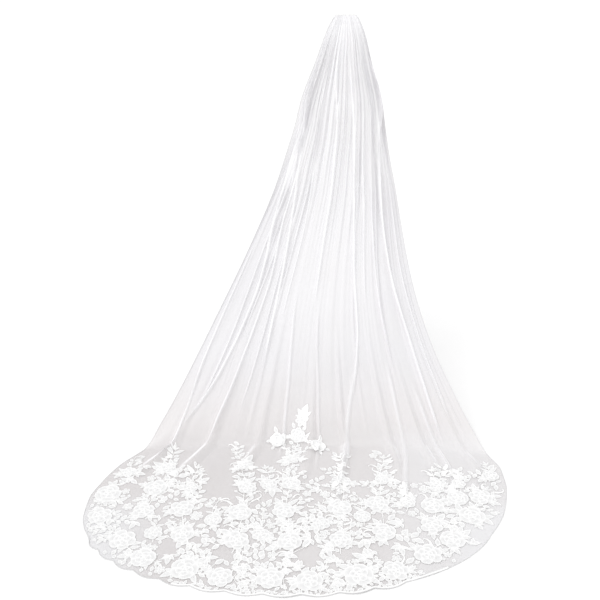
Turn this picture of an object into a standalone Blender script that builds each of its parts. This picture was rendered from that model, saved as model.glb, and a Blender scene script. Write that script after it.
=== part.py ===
# Bridal veil: one tier of gathered tulle on a hair comb, with corded lace sprays on its train.
# Metres, +Z up.  The origin is the middle of the comb's spine, where the hair holds it.  The wearer
# would face +Y, so the veil falls behind the head and its train runs out along -Y.
import math
from collections import namedtuple

import bmesh
import bpy
from mathutils import Vector
from mathutils.geometry import delaunay_2d_cdt

# ---------------------------------------------------------------- driving dimensions
COMB_ABOVE_FLOOR = 1.66
TULLE_WALL = 0.0012
SEAM_GAP = 0.0003
GATHERS = 20                 # folds gathered into the comb, from side edge to side edge
COLUMNS_PER_GATHER = 4
GATHER_UNEVEN = 0.018        # how far a fold wanders from even spacing, as a share of the half width
FOLDS_VARY = 0.55            # how much deeper or shallower a fold grows than its neighbours
FOLDS_VARY_BY = 0.90         # height below the comb by which it has

COMB_WIDTH = 0.092
COMB_ARC = 0.003             # how far the middle of the spine stands behind its ends
SPINE_DEEP = 0.004
SPINE_TALL = 0.0045
TEETH = 18
TOOTH_LENGTH = 0.036
TAPE_DEEP = 0.0060
TAPE_TALL = 0.0056

LACE_THICK = 0.0015
PETALS = 5
PETAL_NOTCH = 0.80           # depth of the notch between two petals, as a share of the radius
PETAL_ROUND = 0.34           # half angle of a petal's round end
INNER_PETALS = 0.50          # radius of a rose's raised inner petals, as a share of its own
PETAL_RISE = 0.0012          # how far they stand above the rim
HEM_MARGIN = 0.007           # plain tulle left outside the lace
SPRAY_GAP = 0.004            # tulle showing between two sprays
STEM_WIDE = 0.0070
STEM_STEP = 0.070            # length of one straight piece of stem
LEAF_LONG = 0.050
LEAF_HALF_WIDE = 0.0105
LEAF_PAIR_SPACING = 0.100

LACE_BELOW = -1.20           # no lace lies higher than this
FLAT_ENOUGH = 0.015          # a bend in the tulle, in radians, that lace can bridge in its gap
NEAR = 1e-5                  # places this near in plan count as one
SLOPE_STEP = 0.01            # step across the veil over which a section's direction is taken

# Hanging sections, one row each: height below the comb, x of the left and right side edges, y of the
# side edges, y of the middle, how far round the section wraps, and how deep its folds are.
Hang = namedtuple("Hang", "drop left right side_y back_y wrap_deg fold")
HANG = (
    Hang(0.000, -0.046, 0.046, -0.0105, -0.0135, 20, 0.0012),
    Hang(0.012, -0.053, 0.052, -0.0150, -0.0310, 40, 0.0020),
    Hang(0.045, -0.070, 0.068, -0.0190, -0.0580, 60, 0.0035),
    Hang(0.100, -0.091, 0.088, -0.0200, -0.0800, 70, 0.0050),
    Hang(0.180, -0.117, 0.108, -0.0150, -0.0950, 72, 0.0070),
    Hang(0.360, -0.180, 0.165, 0.0100, -0.1220, 70, 0.0110),
    Hang(0.470, -0.209, 0.184, -0.0050, -0.1350, 66, 0.0120),
    Hang(0.600, -0.256, 0.207, -0.0450, -0.1520, 60, 0.0130),
    Hang(0.740, -0.312, 0.237, -0.1000, -0.1800, 52, 0.0140),
    Hang(0.900, -0.388, 0.266, -0.1650, -0.2200, 46, 0.0150),
    Hang(1.070, -0.475, 0.299, -0.2600, -0.2900, 40, 0.0160),
    Hang(1.220, -0.558, 0.339, -0.3600, -0.3750, 36, 0.0160),
    Hang(1.360, -0.638, 0.392, -0.4750, -0.4750, 32, 0.0150),
    Hang(1.480, -0.712, 0.454, -0.6000, -0.5800, 28, 0.0120),
    Hang(1.580, -0.782, 0.514, -0.7200, -0.6850, 26, 0.0080),
)

# Train sections on the floor: the two ends, y of the middle, wrap, and how much is left of the ridges.
Train = namedtuple("Train", "left_x left_y right_x right_y back_y wrap_deg ridge")
TRAIN = (
    Train(-0.850, -0.825, 0.578, -0.866, -0.800, 22, 1.00),
    Train(-0.925, -0.930, 0.605, -0.955, -0.950, 35, 0.52),
    Train(-0.972, -1.045, 0.602, -1.045, -1.110, 45, 0.00),
    Train(-0.994, -1.140, 0.582, -1.135, -1.250, 55, 0.00),
    Train(-0.990, -1.230, 0.552, -1.220, -1.385, 63, 0.00),
    Train(-0.970, -1.300, 0.512, -1.290, -1.510, 69, 0.00),
    Train(-0.935, -1.357, 0.475, -1.340, -1.612, 73, 0.00),
)

# Soft ridges that run out along the train: place across the veil (-1 to 1), height and half width.
Ridge = namedtuple("Ridge", "across height half_wide")
RIDGES = (
    Ridge(-0.84, 0.016, 0.050),
    Ridge(-0.62, 0.022, 0.055),
    Ridge(-0.33, 0.014, 0.045),
    Ridge(-0.02, 0.012, 0.040),
    Ridge(0.17, 0.018, 0.032),
    Ridge(0.44, 0.016, 0.040),
    Ridge(0.63, 0.018, 0.040),
    Ridge(0.86, 0.010, 0.040),
)
RIDGE_STARTS = 1.22          # height below the comb at which the ridges begin to gather
TRAIN_COLUMNS = 24           # even places across the train, besides the ridges' own

# Scallops of the hem, from the left corner on; the right end of the hem is a plain cut edge.
SCALLOPS = 11
SCALLOP_DEEP = 0.012
SCALLOPS_END = 0.42          # place across the veil where the last scallop ends
PLAIN_HEM_STEPS = 8

# Lace sprays, in plan: root, tip, sideways bend, and which flowers are on the stem.
Spray = namedtuple("Spray", "name root_x root_y tip_x tip_y bend flowers")
FLOWERS = {                  # share of the stem, radius, sideways offset
    "border": ((0.20, 0.050, 0.004), (0.76, 0.046, -0.004)),
    "tall": ((0.12, 0.043, 0.000), (0.42, 0.046, 0.010), (0.70, 0.030, -0.006)),
    "middle": ((0.10, 0.046, 0.0), (0.33, 0.046, 0.012), (0.56, 0.038, -0.010), (0.78, 0.027, 0.0)),
    "short": ((0.22, 0.043, 0.000), (0.66, 0.029, 0.005)),
    "posy": ((0.35, 0.034, 0.000),),
}
SPRAYS = (
    Spray("hem_1", -0.925, -1.060, -0.905, -1.290, -0.020, "border"),
    Spray("hem_2", -0.852, -1.330, -0.680, -1.475, -0.012, "border"),
    Spray("hem_3", -0.625, -1.490, -0.405, -1.540, -0.010, "border"),
    Spray("hem_4", -0.345, -1.545, -0.110, -1.555, 0.000, "border"),
    Spray("hem_5", -0.045, -1.550, 0.170, -1.500, 0.010, "border"),
    Spray("hem_6", 0.215, -1.470, 0.380, -1.335, 0.018, "border"),
    Spray("hem_7", 0.425, -1.280, 0.515, -1.085, 0.018, "border"),
    Spray("tall_1", -0.790, -1.260, -0.720, -0.815, -0.015, "tall"),
    Spray("tall_2", -0.605, -1.385, -0.608, -0.940, 0.020, "tall"),
    Spray("tall_3", -0.430, -1.430, -0.465, -0.805, -0.040, "middle"),
    Spray("tall_4", -0.225, -1.445, -0.200, -0.735, 0.032, "middle"),
    Spray("tall_5", -0.065, -1.430, -0.030, -0.865, -0.010, "tall"),
    Spray("tall_6", 0.105, -1.385, 0.145, -0.870, 0.020, "tall"),
    Spray("tall_7", 0.260, -1.330, 0.330, -0.965, -0.018, "tall"),
    Spray("tall_8", 0.380, -1.175, 0.430, -0.985, -0.012, "short"),
    Spray("edge_left", -0.870, -1.035, -0.865, -0.870, 0.012, "posy"),
    Spray("edge_right", 0.540, -1.035, 0.552, -0.930, -0.010, "posy"),
    Spray("posy_1", -0.715, -1.375, -0.700, -1.240, 0.010, "posy"),
    Spray("posy_2", -0.520, -1.310, -0.530, -1.165, -0.010, "posy"),
    Spray("posy_3", -0.325, -1.390, -0.335, -1.230, 0.010, "posy"),
    Spray("posy_4", -0.325, -1.110, -0.335, -0.950, -0.010, "posy"),
    Spray("posy_5", -0.135, -1.330, -0.125, -1.180, -0.010, "posy"),
    Spray("posy_6", 0.032, -1.290, 0.040, -1.150, 0.006, "posy"),
    Spray("posy_7", 0.190, -1.210, 0.205, -1.065, -0.010, "posy"),
)


# ---------------------------------------------------------------- scene helpers
def clear_scene():
    for thing in list(bpy.data.objects):
        bpy.data.objects.remove(thing)


def finish(name, colour, roughness, metallic=0.0):
    material = bpy.data.materials.new(name)
    material.use_nodes = True
    shader = material.node_tree.nodes["Principled BSDF"]
    shader.inputs["Base Color"].default_value = (*colour, 1.0)
    shader.inputs["Roughness"].default_value = roughness
    shader.inputs["Metallic"].default_value = metallic
    return material


def add_piece(name, bm, material):
    mesh = bpy.data.meshes.new(name)
    bm.to_mesh(mesh)
    bm.free()
    mesh.materials.append(material)
    piece = bpy.data.objects.new(name, mesh)
    bpy.context.scene.collection.objects.link(piece)
    return piece


# ---------------------------------------------------------------- the drape of the tulle
def section_point(left, right, side_left_y, side_right_y, back_y, wrap_deg, across):
    """A point on one section's curve in plan; across runs from -1, left, to 1, right."""
    wrap = math.radians(wrap_deg)
    angle = across * wrap
    x = (left + right) / 2 + (right - left) / 2 * math.sin(angle) / math.sin(wrap)
    side_y = side_left_y + (side_right_y - side_left_y) * (x - left) / (right - left)
    bow = (math.cos(angle) - math.cos(wrap)) / (1.0 - math.cos(wrap))
    return x, side_y + (back_y - side_y) * bow


def hang_point(row, across):
    x, y = section_point(row.left, row.right, row.side_y, row.side_y, row.back_y, row.wrap_deg, across)
    return Vector((x, y, -row.drop))


def scallop(across):
    """How far the hem stands out from its even curve, in metres."""
    if across > SCALLOPS_END:
        return 0.0
    turn = (across + 1.0) / (SCALLOPS_END + 1.0) * SCALLOPS
    return SCALLOP_DEEP * math.sin(math.pi * (turn - math.floor(turn)))


def train_point(row, across):
    x, y = section_point(row.left_x, row.right_x, row.left_y, row.right_y, row.back_y, row.wrap_deg,
                         across)
    return Vector((x, y, TULLE_WALL - COMB_ABOVE_FLOOR))


def gather_place(turn):
    """Place across the veil of a fold's phase: 0 at the left edge, GATHERS at the right."""
    even = -1.0 + 2.0 * turn / GATHERS
    return even + GATHER_UNEVEN * math.sin(7.0 * even + 0.6) * (1.0 - even * even)


def gather_wave(turn, drop):
    """A fold's height, -1 to 1; lower down some folds deepen while their neighbours fade."""
    fold = math.floor(turn + 0.5)
    own = 1.0 + FOLDS_VARY * math.sin(2.4 * fold + 0.8) * min(1.0, drop / FOLDS_VARY_BY)
    return own * math.cos(2.0 * math.pi * turn)


def ridge_height(across):
    height = 0.0
    for ridge in RIDGES:
        share = 1.0 - abs(across - ridge.across) / ridge.half_wide
        height = max(height, ridge.height * share)
    return height


def hang_rows():
    """Rows of (across, point) for the hanging part, folds and all."""
    turns = [k / COLUMNS_PER_GATHER for k in range(GATHERS * COLUMNS_PER_GATHER + 1)]
    rows = []
    for index, row in enumerate(HANG):
        above = HANG[max(index - 1, 0)]
        below = HANG[min(index + 1, len(HANG) - 1)]
        grown = max(0.0, (row.drop - RIDGE_STARTS) / (COMB_ABOVE_FLOOR - RIDGE_STARTS))
        points = []
        for turn in turns:
            across = gather_place(turn)
            sideways = hang_point(row, across + SLOPE_STEP) - hang_point(row, across - SLOPE_STEP)
            down = hang_point(below, across) - hang_point(above, across)
            out = down.cross(sideways).normalized()
            fold = row.fold * gather_wave(turn, row.drop) + grown * ridge_height(across)
            points.append((across, hang_point(row, across) + out * fold))
        rows.append(points)
    return rows


def train_columns():
    """Places across the train: both feet and the top of each ridge, and even ones between."""
    places = set()
    for ridge in RIDGES:
        places.update((ridge.across - ridge.half_wide, ridge.across, ridge.across + ridge.half_wide))
    for k in range(TRAIN_COLUMNS + 1):
        even = -1.0 + 2.0 * k / TRAIN_COLUMNS
        if all(abs(even - place) > 0.4 * 2.0 / TRAIN_COLUMNS for place in places):
            places.add(even)
    return sorted(places)


def hem_columns():
    """Four steps to each scallop, then even steps along the plain edge."""
    steps = SCALLOPS * 4
    places = [-1.0 + (SCALLOPS_END + 1.0) * k / steps for k in range(steps + 1)]
    places += [SCALLOPS_END + (1.0 - SCALLOPS_END) * k / PLAIN_HEM_STEPS
               for k in range(1, PLAIN_HEM_STEPS + 1)]
    return places


def train_rows():
    rows = []
    for index, row in enumerate(TRAIN):
        at_hem = index == len(TRAIN) - 1
        points = []
        for across in hem_columns() if at_hem else train_columns():
            point = train_point(row, across)
            point.z += row.ridge * ridge_height(across)
            if at_hem:
                along = train_point(row, across + SLOPE_STEP) - train_point(row, across - SLOPE_STEP)
                point += Vector((along.y, -along.x, 0.0)).normalized() * scallop(across)
            points.append((across, point))
        rows.append(points)
    return rows


def bridge_rows(bm, upper, lower):
    """Triangles between two rows of (across, vertex) that may hold different numbers of vertices."""
    i = 0
    j = 0
    while i < len(upper) - 1 or j < len(lower) - 1:
        next_upper = upper[i + 1][0] if i < len(upper) - 1 else math.inf
        next_lower = lower[j + 1][0] if j < len(lower) - 1 else math.inf
        if next_upper <= next_lower:
            bm.faces.new((upper[i][1], lower[j][1], upper[i + 1][1]))
            i += 1
        else:
            bm.faces.new((upper[i][1], lower[j][1], lower[j + 1][1]))
            j += 1


def tulle_surface():
    """The tulle's outer face, as a bmesh of triangles."""
    bm = bmesh.new()
    rows = [[(across, bm.verts.new(point)) for across, point in row] for row in hang_rows() + train_rows()]
    for upper, lower in zip(rows, rows[1:]):
        bridge_rows(bm, upper, lower)
    bm.normal_update()
    return bm


def add_wall(bm, thickness):
    """Doubles an open surface inward along its vertex normals and closes the rim."""
    outer_faces = list(bm.faces)
    inner_of = {vert: bm.verts.new(vert.co - vert.normal * thickness) for vert in list(bm.verts)}
    rim = [loop for face in outer_faces for loop in face.loops if loop.edge.is_boundary]
    rim_pairs = [(loop.vert, loop.link_loop_next.vert) for loop in rim]
    for face in outer_faces:
        bm.faces.new([inner_of[vert] for vert in reversed(face.verts)])
    for start, end in rim_pairs:
        bm.faces.new((end, start, inner_of[start]))
        bm.faces.new((end, inner_of[start], inner_of[end]))


# ---------------------------------------------------------------- lace shapes, flat, in plan
def around(centre, radius, angle):
    return centre[0] + radius * math.cos(angle), centre[1] + radius * math.sin(angle)


def petal_angle(turn, petal):
    return turn + 2.0 * math.pi * petal / PETALS


def rose_outline(centre, radius, turn):
    """Five round petals with a notch between each two."""
    outline = []
    for petal in range(PETALS):
        middle = petal_angle(turn, petal)
        for offset, share in ((-PETAL_ROUND, 1.0), (PETAL_ROUND, 1.0), (math.pi / PETALS, PETAL_NOTCH)):
            outline.append(around(centre, radius * share, middle + offset))
    return outline


def leaf_outline(base, angle, length):
    """A pointed leaf that grows out of its base."""
    side = [(length * 0.34, LEAF_HALF_WIDE), (length * 0.70, LEAF_HALF_WIDE * 0.68)]
    outline = [(0.0, 0.0)] + side + [(length, 0.0)] + [(a, -b) for a, b in reversed(side)]
    cos, sin = math.cos(angle), math.sin(angle)
    return [(base[0] + a * cos - b * sin, base[1] + a * sin + b * cos) for a, b in outline]


def strip_outline(path, widths):
    """A strip of the given widths along a path."""
    left = []
    right = []
    for k, (x, y) in enumerate(path):
        before = path[max(k - 1, 0)]
        after = path[min(k + 1, len(path) - 1)]
        run = math.hypot(after[0] - before[0], after[1] - before[1])
        nx, ny = -(after[1] - before[1]) / run, (after[0] - before[0]) / run
        half = widths[k] / 2
        left.append((x + nx * half, y + ny * half))
        right.append((x - nx * half, y - ny * half))
    return left + right[::-1]


def stem_point(spray, share):
    """A point on the spray's bent stem and the stem's direction there."""
    dx, dy = spray.tip_x - spray.root_x, spray.tip_y - spray.root_y
    run = math.hypot(dx, dy)
    nx, ny = -dy / run, dx / run
    bow = 4.0 * spray.bend * share * (1.0 - share)
    slope = 4.0 * spray.bend * (1.0 - 2.0 * share)
    x = spray.root_x + dx * share + nx * bow
    y = spray.root_y + dy * share + ny * bow
    return x, y, math.atan2(dy + ny * slope, dx + nx * slope), run


def spray_shapes(spray, order):
    """The spray's shapes, its stem first, and its roses as (centre, radius, turn)."""
    run = stem_point(spray, 0.0)[3]
    steps = max(4, round(run / STEM_STEP))
    path = [stem_point(spray, k / steps)[:2] for k in range(steps + 1)]
    widths = [STEM_WIDE * (1.0 - 0.4 * k / steps) for k in range(steps + 1)]
    must = [strip_outline(path, widths)]
    roses = []
    for number, (share, radius, aside) in enumerate(FLOWERS[spray.flowers]):
        x, y, heading, _ = stem_point(spray, share)
        centre = (x - aside * math.sin(heading), y + aside * math.cos(heading))
        turn = heading + 0.5 * order + number
        roses.append((centre, radius, turn))
        must.append(rose_outline(centre, radius, turn))
    extra = []
    for centre, radius, turn in roses:
        for petal in (0, 2):
            angle = petal_angle(turn, petal + 0.5)
            base = around(centre, radius * 0.6, angle)
            extra.append(leaf_outline(base, angle + 0.15, radius * 0.4 + LEAF_LONG * 0.62))
    pairs = round(run / LEAF_PAIR_SPACING)
    for k in range(pairs):
        x, y, heading, _ = stem_point(spray, (k + 0.6) / pairs)
        side = 1 if (k + order) % 2 else -1
        length = LEAF_LONG * (1.0 + 0.25 * math.sin(1.7 * k + order))
        extra.append(leaf_outline((x, y), heading + side * 0.85, length))
        extra.append(leaf_outline((x, y), heading - side * 1.05, length * 0.8))
    x, y, heading, _ = stem_point(spray, 0.97)
    for turn, share in ((0.0, 1.0), (0.75, 0.72), (-0.75, 0.72)):
        extra.append(leaf_outline((x, y), heading + turn, LEAF_LONG * share))
    return must, extra, roses


# ---------------------------------------------------------------- keeping sprays apart
def sides(outline):
    return list(zip(outline, outline[1:] + outline[:1]))


def point_inside(point, outline_sides):
    """Even-odd test against the sides of one or more closed outlines."""
    inside = False
    x, y = point
    for (x0, y0), (x1, y1) in outline_sides:
        if (y0 > y) != (y1 > y) and x < x0 + (x1 - x0) * (y - y0) / (y1 - y0):
            inside = not inside
    return inside


def point_to_side(point, start, end):
    dx, dy = end[0] - start[0], end[1] - start[1]
    share = ((point[0] - start[0]) * dx + (point[1] - start[1]) * dy) / (dx * dx + dy * dy)
    share = min(1.0, max(0.0, share))
    return math.hypot(point[0] - start[0] - share * dx, point[1] - start[1] - share * dy)


def crosses(one, other):
    (a, b), (c, d) = one, other

    def turn(p, q, r):
        return (q[0] - p[0]) * (r[1] - p[1]) - (q[1] - p[1]) * (r[0] - p[0])

    return (turn(a, b, c) > 0) != (turn(a, b, d) > 0) and (turn(c, d, a) > 0) != (turn(c, d, b) > 0)


def too_close(one, other, gap):
    """True where two outlines overlap or pass nearer than the gap."""
    for axis in (0, 1):
        if min(p[axis] for p in one) > max(p[axis] for p in other) + gap:
            return False
        if min(p[axis] for p in other) > max(p[axis] for p in one) + gap:
            return False
    if point_inside(one[0], sides(other)) or point_inside(other[0], sides(one)):
        return True
    for mine in sides(one):
        for theirs in sides(other):
            if crosses(mine, theirs):
                return True
            if min(point_to_side(mine[0], *theirs), point_to_side(theirs[0], *mine)) < gap:
                return True
    return False


def panel_outline():
    """The tulle's edge in plan, from the lower hanging rows round the hem."""
    rows = hang_rows()[-5:] + train_rows()
    left = [row[0][1] for row in rows[:-1]]
    right = [row[-1][1] for row in rows[:-1]]
    hem = [point for _, point in rows[-1]]
    return [(p.x, p.y) for p in left + hem + right[::-1]]


def lay_out_sprays():
    """Each spray's shapes, without those leaves that would touch another spray or the hem."""
    edge = panel_outline()
    edge_sides = sides(edge)[:-1]
    drafts = [(spray, *spray_shapes(spray, order)) for order, spray in enumerate(SPRAYS)]
    taken = [(index, shape) for index, (_, must, _, _) in enumerate(drafts) for shape in must]
    laid = []
    for index, (spray, must, extra, roses) in enumerate(drafts):
        shapes = list(must)
        for leaf in extra:
            near_edge = any(point_to_side(p, a, b) < HEM_MARGIN for p in leaf for a, b in edge_sides)
            outside = not all(point_inside(p, sides(edge)) for p in leaf)
            blocked = any(owner != index and too_close(leaf, other, SPRAY_GAP) for owner, other in taken)
            if not (near_edge or outside or blocked):
                shapes.append(leaf)
                taken.append((index, leaf))
        laid.append((spray, shapes, roses))
    return laid


# ---------------------------------------------------------------- lace on the tulle
def union_loops(shapes):
    """Sides of the shapes' joint outline, holes included, as pairs of points."""
    points = [Vector(p) for shape in shapes for p in shape]
    faces = []
    start = 0
    for shape in shapes:
        faces.append(list(range(start, start + len(shape))))
        start += len(shape)
    verts, _, found, _, _, origin = delaunay_2d_cdt(points, [], faces, 1, NEAR)
    kept = [face for face, source in zip(found, origin) if source]
    uses = {}
    for face in kept:
        for a, b in zip(face, face[1:] + face[:1]):
            uses[frozenset((a, b))] = uses.get(frozenset((a, b)), 0) + 1
    return [tuple(verts[i].to_tuple() for i in side) for side, count in uses.items() if count == 1]


class Ground:
    """The tulle's outer face where lace lies, read as a height over the plan."""

    def __init__(self, bm, highest):
        self.faces = []
        self.creases = []
        for face in bm.faces:
            if max(vert.co.z for vert in face.verts) < highest and face.normal.z > 0.2:
                self.faces.append(face)
        for edge in bm.edges:
            if len(edge.link_faces) == 2 and edge.calc_face_angle() > FLAT_ENOUGH:
                if max(vert.co.z for vert in edge.verts) < highest:
                    self.creases.append(tuple((vert.co.x, vert.co.y) for vert in edge.verts))
        self.boxes = []
        for face in self.faces:
            xs = [vert.co.x for vert in face.verts]
            ys = [vert.co.y for vert in face.verts]
            self.boxes.append((min(xs), max(xs), min(ys), max(ys)))

    def height_and_slope(self, x, y):
        """Height of the tulle at a place in plan, and the steepest 1/cos of a face that meets it."""
        height = None
        steep = 1.0
        for face, (x0, x1, y0, y1) in zip(self.faces, self.boxes):
            if x0 - NEAR <= x <= x1 + NEAR and y0 - NEAR <= y <= y1 + NEAR:
                a, b, c = (vert.co for vert in face.verts)
                area = (b.x - a.x) * (c.y - a.y) - (b.y - a.y) * (c.x - a.x)
                wb = ((x - a.x) * (c.y - a.y) - (y - a.y) * (c.x - a.x)) / area
                wc = ((b.x - a.x) * (y - a.y) - (b.y - a.y) * (x - a.x)) / area
                if min(wb, wc, 1.0 - wb - wc) > -0.002:
                    here = a.z + wb * (b.z - a.z) + wc * (c.z - a.z)
                    height = here if height is None else max(height, here)
                    steep = max(steep, 1.0 / face.normal.z)
        return height, steep


def petal_rise(x, y, roses):
    """How far a rose's petals stand above its rim."""
    for centre, radius, _ in roses:
        share = math.hypot(x - centre[0], y - centre[1]) / radius
        if share < INNER_PETALS / 2:
            return PETAL_RISE * 0.4
        if share < INNER_PETALS * 1.4:
            return PETAL_RISE
    return 0.0


def lace_solid(ground, shapes, roses):
    """One closed piece of lace on the tulle: the shapes joined, laid 0.3 mm off it."""
    loop_sides = union_loops(shapes)
    points = []
    edges = []
    place = {}

    def index_of(point):
        if point not in place:
            place[point] = len(points)
            points.append(Vector(point))
        return place[point]

    for a, b in loop_sides:
        edges.append((index_of(a), index_of(b)))
    low_x, high_x = min(p.x for p in points), max(p.x for p in points)
    low_y, high_y = min(p.y for p in points), max(p.y for p in points)
    for centre, radius, turn in roses:
        index_of(centre)
        for petal in range(PETALS):
            index_of(around(centre, radius * INNER_PETALS, petal_angle(turn, petal + 0.5)))
    for a, b in ground.creases:
        if max(a[0], b[0]) > low_x and min(a[0], b[0]) < high_x:
            if max(a[1], b[1]) > low_y and min(a[1], b[1]) < high_y:
                edges.append((index_of(a), index_of(b)))
    verts, _, found, _, _, _ = delaunay_2d_cdt(points, edges, [], 0, 2 * NEAR)
    kept = []
    for face in found:
        middle = sum((verts[i] for i in face), Vector((0.0, 0.0))) / 3.0
        if point_inside(middle, loop_sides):
            kept.append(face)

    bm = bmesh.new()
    lower = {}
    upper = {}
    for i in sorted({i for face in kept for i in face}):
        x, y = verts[i]
        height, steep = ground.height_and_slope(x, y)
        base = height + SEAM_GAP * steep
        lower[i] = bm.verts.new((x, y, base))
        upper[i] = bm.verts.new((x, y, base + LACE_THICK * steep + petal_rise(x, y, roses)))
    used = set()
    for face in kept:
        a, b, c = face
        if (verts[b] - verts[a]).cross(verts[c] - verts[a]) < 0:
            b, c = c, b
        bm.faces.new((upper[a], upper[b], upper[c]))
        bm.faces.new((lower[a], lower[c], lower[b]))
        for start, end in ((a, b), (b, c), (c, a)):
            used.add((start, end))
    for start, end in sorted(used):
        if (end, start) not in used:
            bm.faces.new((upper[end], upper[start], lower[start]))
            bm.faces.new((upper[end], lower[start], lower[end]))
    bm.normal_update()
    return bm


# ---------------------------------------------------------------- comb and tape
def arc_y(x):
    """How far behind the origin's plane the comb's curve lies at x."""
    return -COMB_ARC * (1.0 - (2.0 * x / COMB_WIDTH) ** 2)


def bent_bar(width, back, deep, tall, steps):
    """A bar that follows the comb's curve, its front face at the distance back behind the curve."""
    bm = bmesh.new()
    rings = []
    for k in range(steps + 1):
        x = -width / 2 + width * k / steps
        front = arc_y(x) - back
        corners = ((front, tall / 2), (front - deep, tall / 2), (front - deep, -tall / 2),
                   (front, -tall / 2))
        rings.append([bm.verts.new((x, y, z)) for y, z in corners])
    for ring, following in zip(rings, rings[1:]):
        for k in range(4):
            bm.faces.new((ring[k], ring[(k + 1) % 4], following[(k + 1) % 4], following[k]))
    bm.faces.new(rings[0][::-1])
    bm.faces.new(rings[-1])
    bmesh.ops.recalc_face_normals(bm, faces=bm.faces)
    return bm


def comb_solid():
    """Spine with a row of teeth drawn down out of its under face."""
    bm = bent_bar(COMB_WIDTH, -SPINE_DEEP / 2, SPINE_DEEP, SPINE_TALL, TEETH * 2 - 1)
    under = sorted((face for face in bm.faces if face.normal.z < -0.9),
                   key=lambda face: face.calc_center_median().x)
    for face in under[::2]:
        for share, shrink, back in ((0.55, 0.80, -0.0035), (0.45, 0.62, -0.0060)):
            face = bmesh.ops.extrude_discrete_faces(bm, faces=[face])["faces"][0]
            middle = face.calc_center_median()
            for vert in face.verts:
                vert.co = middle + (vert.co - middle) * shrink
                vert.co += Vector((0.0, back, -TOOTH_LENGTH * share))
    return bm


def tape_solid():
    """Folded strip over the gathered edge, close behind the comb's spine."""
    return bent_bar(COMB_WIDTH + 0.002, SPINE_DEEP / 2 + SEAM_GAP, TAPE_DEEP, TAPE_TALL, 16)


# ---------------------------------------------------------------- build
def build_veil():
    clear_scene()
    tulle = finish("soft tulle", (0.90, 0.89, 0.90), 0.75)
    lace = finish("corded lace", (0.95, 0.95, 0.94), 0.80)
    tape = finish("satin tape", (0.93, 0.93, 0.92), 0.45)
    comb = finish("clear comb", (0.86, 0.86, 0.84), 0.20)

    surface = tulle_surface()
    ground = Ground(surface, LACE_BELOW)
    for spray, shapes, roses in lay_out_sprays():
        add_piece("lace_" + spray.name, lace_solid(ground, shapes, roses), lace)
    add_wall(surface, TULLE_WALL)
    add_piece("tulle_panel", surface, tulle)
    add_piece("gathering_tape", tape_solid(), tape)
    add_piece("hair_comb", comb_solid(), comb)


build_veil()
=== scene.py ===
# Bridal veil: one tier of sheer tulle gathered into a hair comb, with corded lace sprays on its train.
# Metres, +Z up.  The origin is the comb's spine; the veil falls behind it and the train runs along -Y.
import math
import random
from collections import namedtuple

import bmesh
import bpy
import numpy as np
from mathutils import Matrix, Vector
from mathutils.bvhtree import BVHTree


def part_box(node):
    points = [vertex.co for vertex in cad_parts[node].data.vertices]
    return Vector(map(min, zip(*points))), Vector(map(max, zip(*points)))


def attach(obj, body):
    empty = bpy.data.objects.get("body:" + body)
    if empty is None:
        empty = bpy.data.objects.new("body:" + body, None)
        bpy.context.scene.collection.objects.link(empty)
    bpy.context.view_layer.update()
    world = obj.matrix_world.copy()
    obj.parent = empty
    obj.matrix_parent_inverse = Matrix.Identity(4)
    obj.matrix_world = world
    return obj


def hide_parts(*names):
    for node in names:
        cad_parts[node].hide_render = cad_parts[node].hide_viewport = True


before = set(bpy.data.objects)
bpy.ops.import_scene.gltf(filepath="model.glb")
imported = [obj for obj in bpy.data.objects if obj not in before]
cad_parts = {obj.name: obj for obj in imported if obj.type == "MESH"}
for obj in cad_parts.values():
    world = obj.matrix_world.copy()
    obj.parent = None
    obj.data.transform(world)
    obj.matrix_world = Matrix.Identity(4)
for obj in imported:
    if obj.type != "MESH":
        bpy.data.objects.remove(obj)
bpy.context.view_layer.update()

# ------------------------ sizes of the veil
COMB_ABOVE_FLOOR = 1.66
FLOOR = -COMB_ABOVE_FLOOR
TULLE_ON_FLOOR = FLOOR + 0.0012
FLAT_WIDTH = 1.60            # the tulle as it was cut
FLAT_LENGTH = 2.80
GATHERS = 20
GATHER_UNEVEN = 0.018
FOLDS_VARY = 0.55            # how much one fold deepens more than another, by this drop
FOLDS_VARY_BY = 0.90
RIDGE_STARTS = 1.22
SCALLOPS = 11
SCALLOP_DEEP = 0.012
SCALLOPS_END = 0.42
SCALLOP_REACH = 0.07         # how far in from the hem a scallop still shapes the tulle

COLUMNS_PER_GATHER = 26
ROWS = 184
SWAY = 0.007                 # how far folds wander over the cloth, as a share of half its width
SWAY_FULL = 0.5              # length down the cloth over which they begin to
CALM = (0.30, 0.80)          # from this drop, and over that length, the gathers open and grow shallower
CALM_SHARE = 0.74
STRAY = 0.16                 # how far a fold strays to its side, in folds, and what calm adds to it
STRAY_CALM = 0.08
STRAY_UNEVEN = 0.14
OWN_DEPTH = 0.78             # depth of a fold and how it varies from one fold to the next
OWN_VARIES = 0.34
GROUP_DEPTH = 0.52           # calm folds stand in groups, and deepen towards both sides
GROUP_VARIES = 0.30
GROUP_SIDES = 0.28
FINE_FOLDS = 0.30            # depth of the finest folds on the folds, which fade by this drop
FINE_UNTIL = 1.15
FINE_LEAST = 0.12
RIPPLE = 0.0022              # ripples of the tulle on the floor, and the drop from which they grow
RIPPLE_FROM, RIPPLE_OVER = 1.50, 0.15

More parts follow.
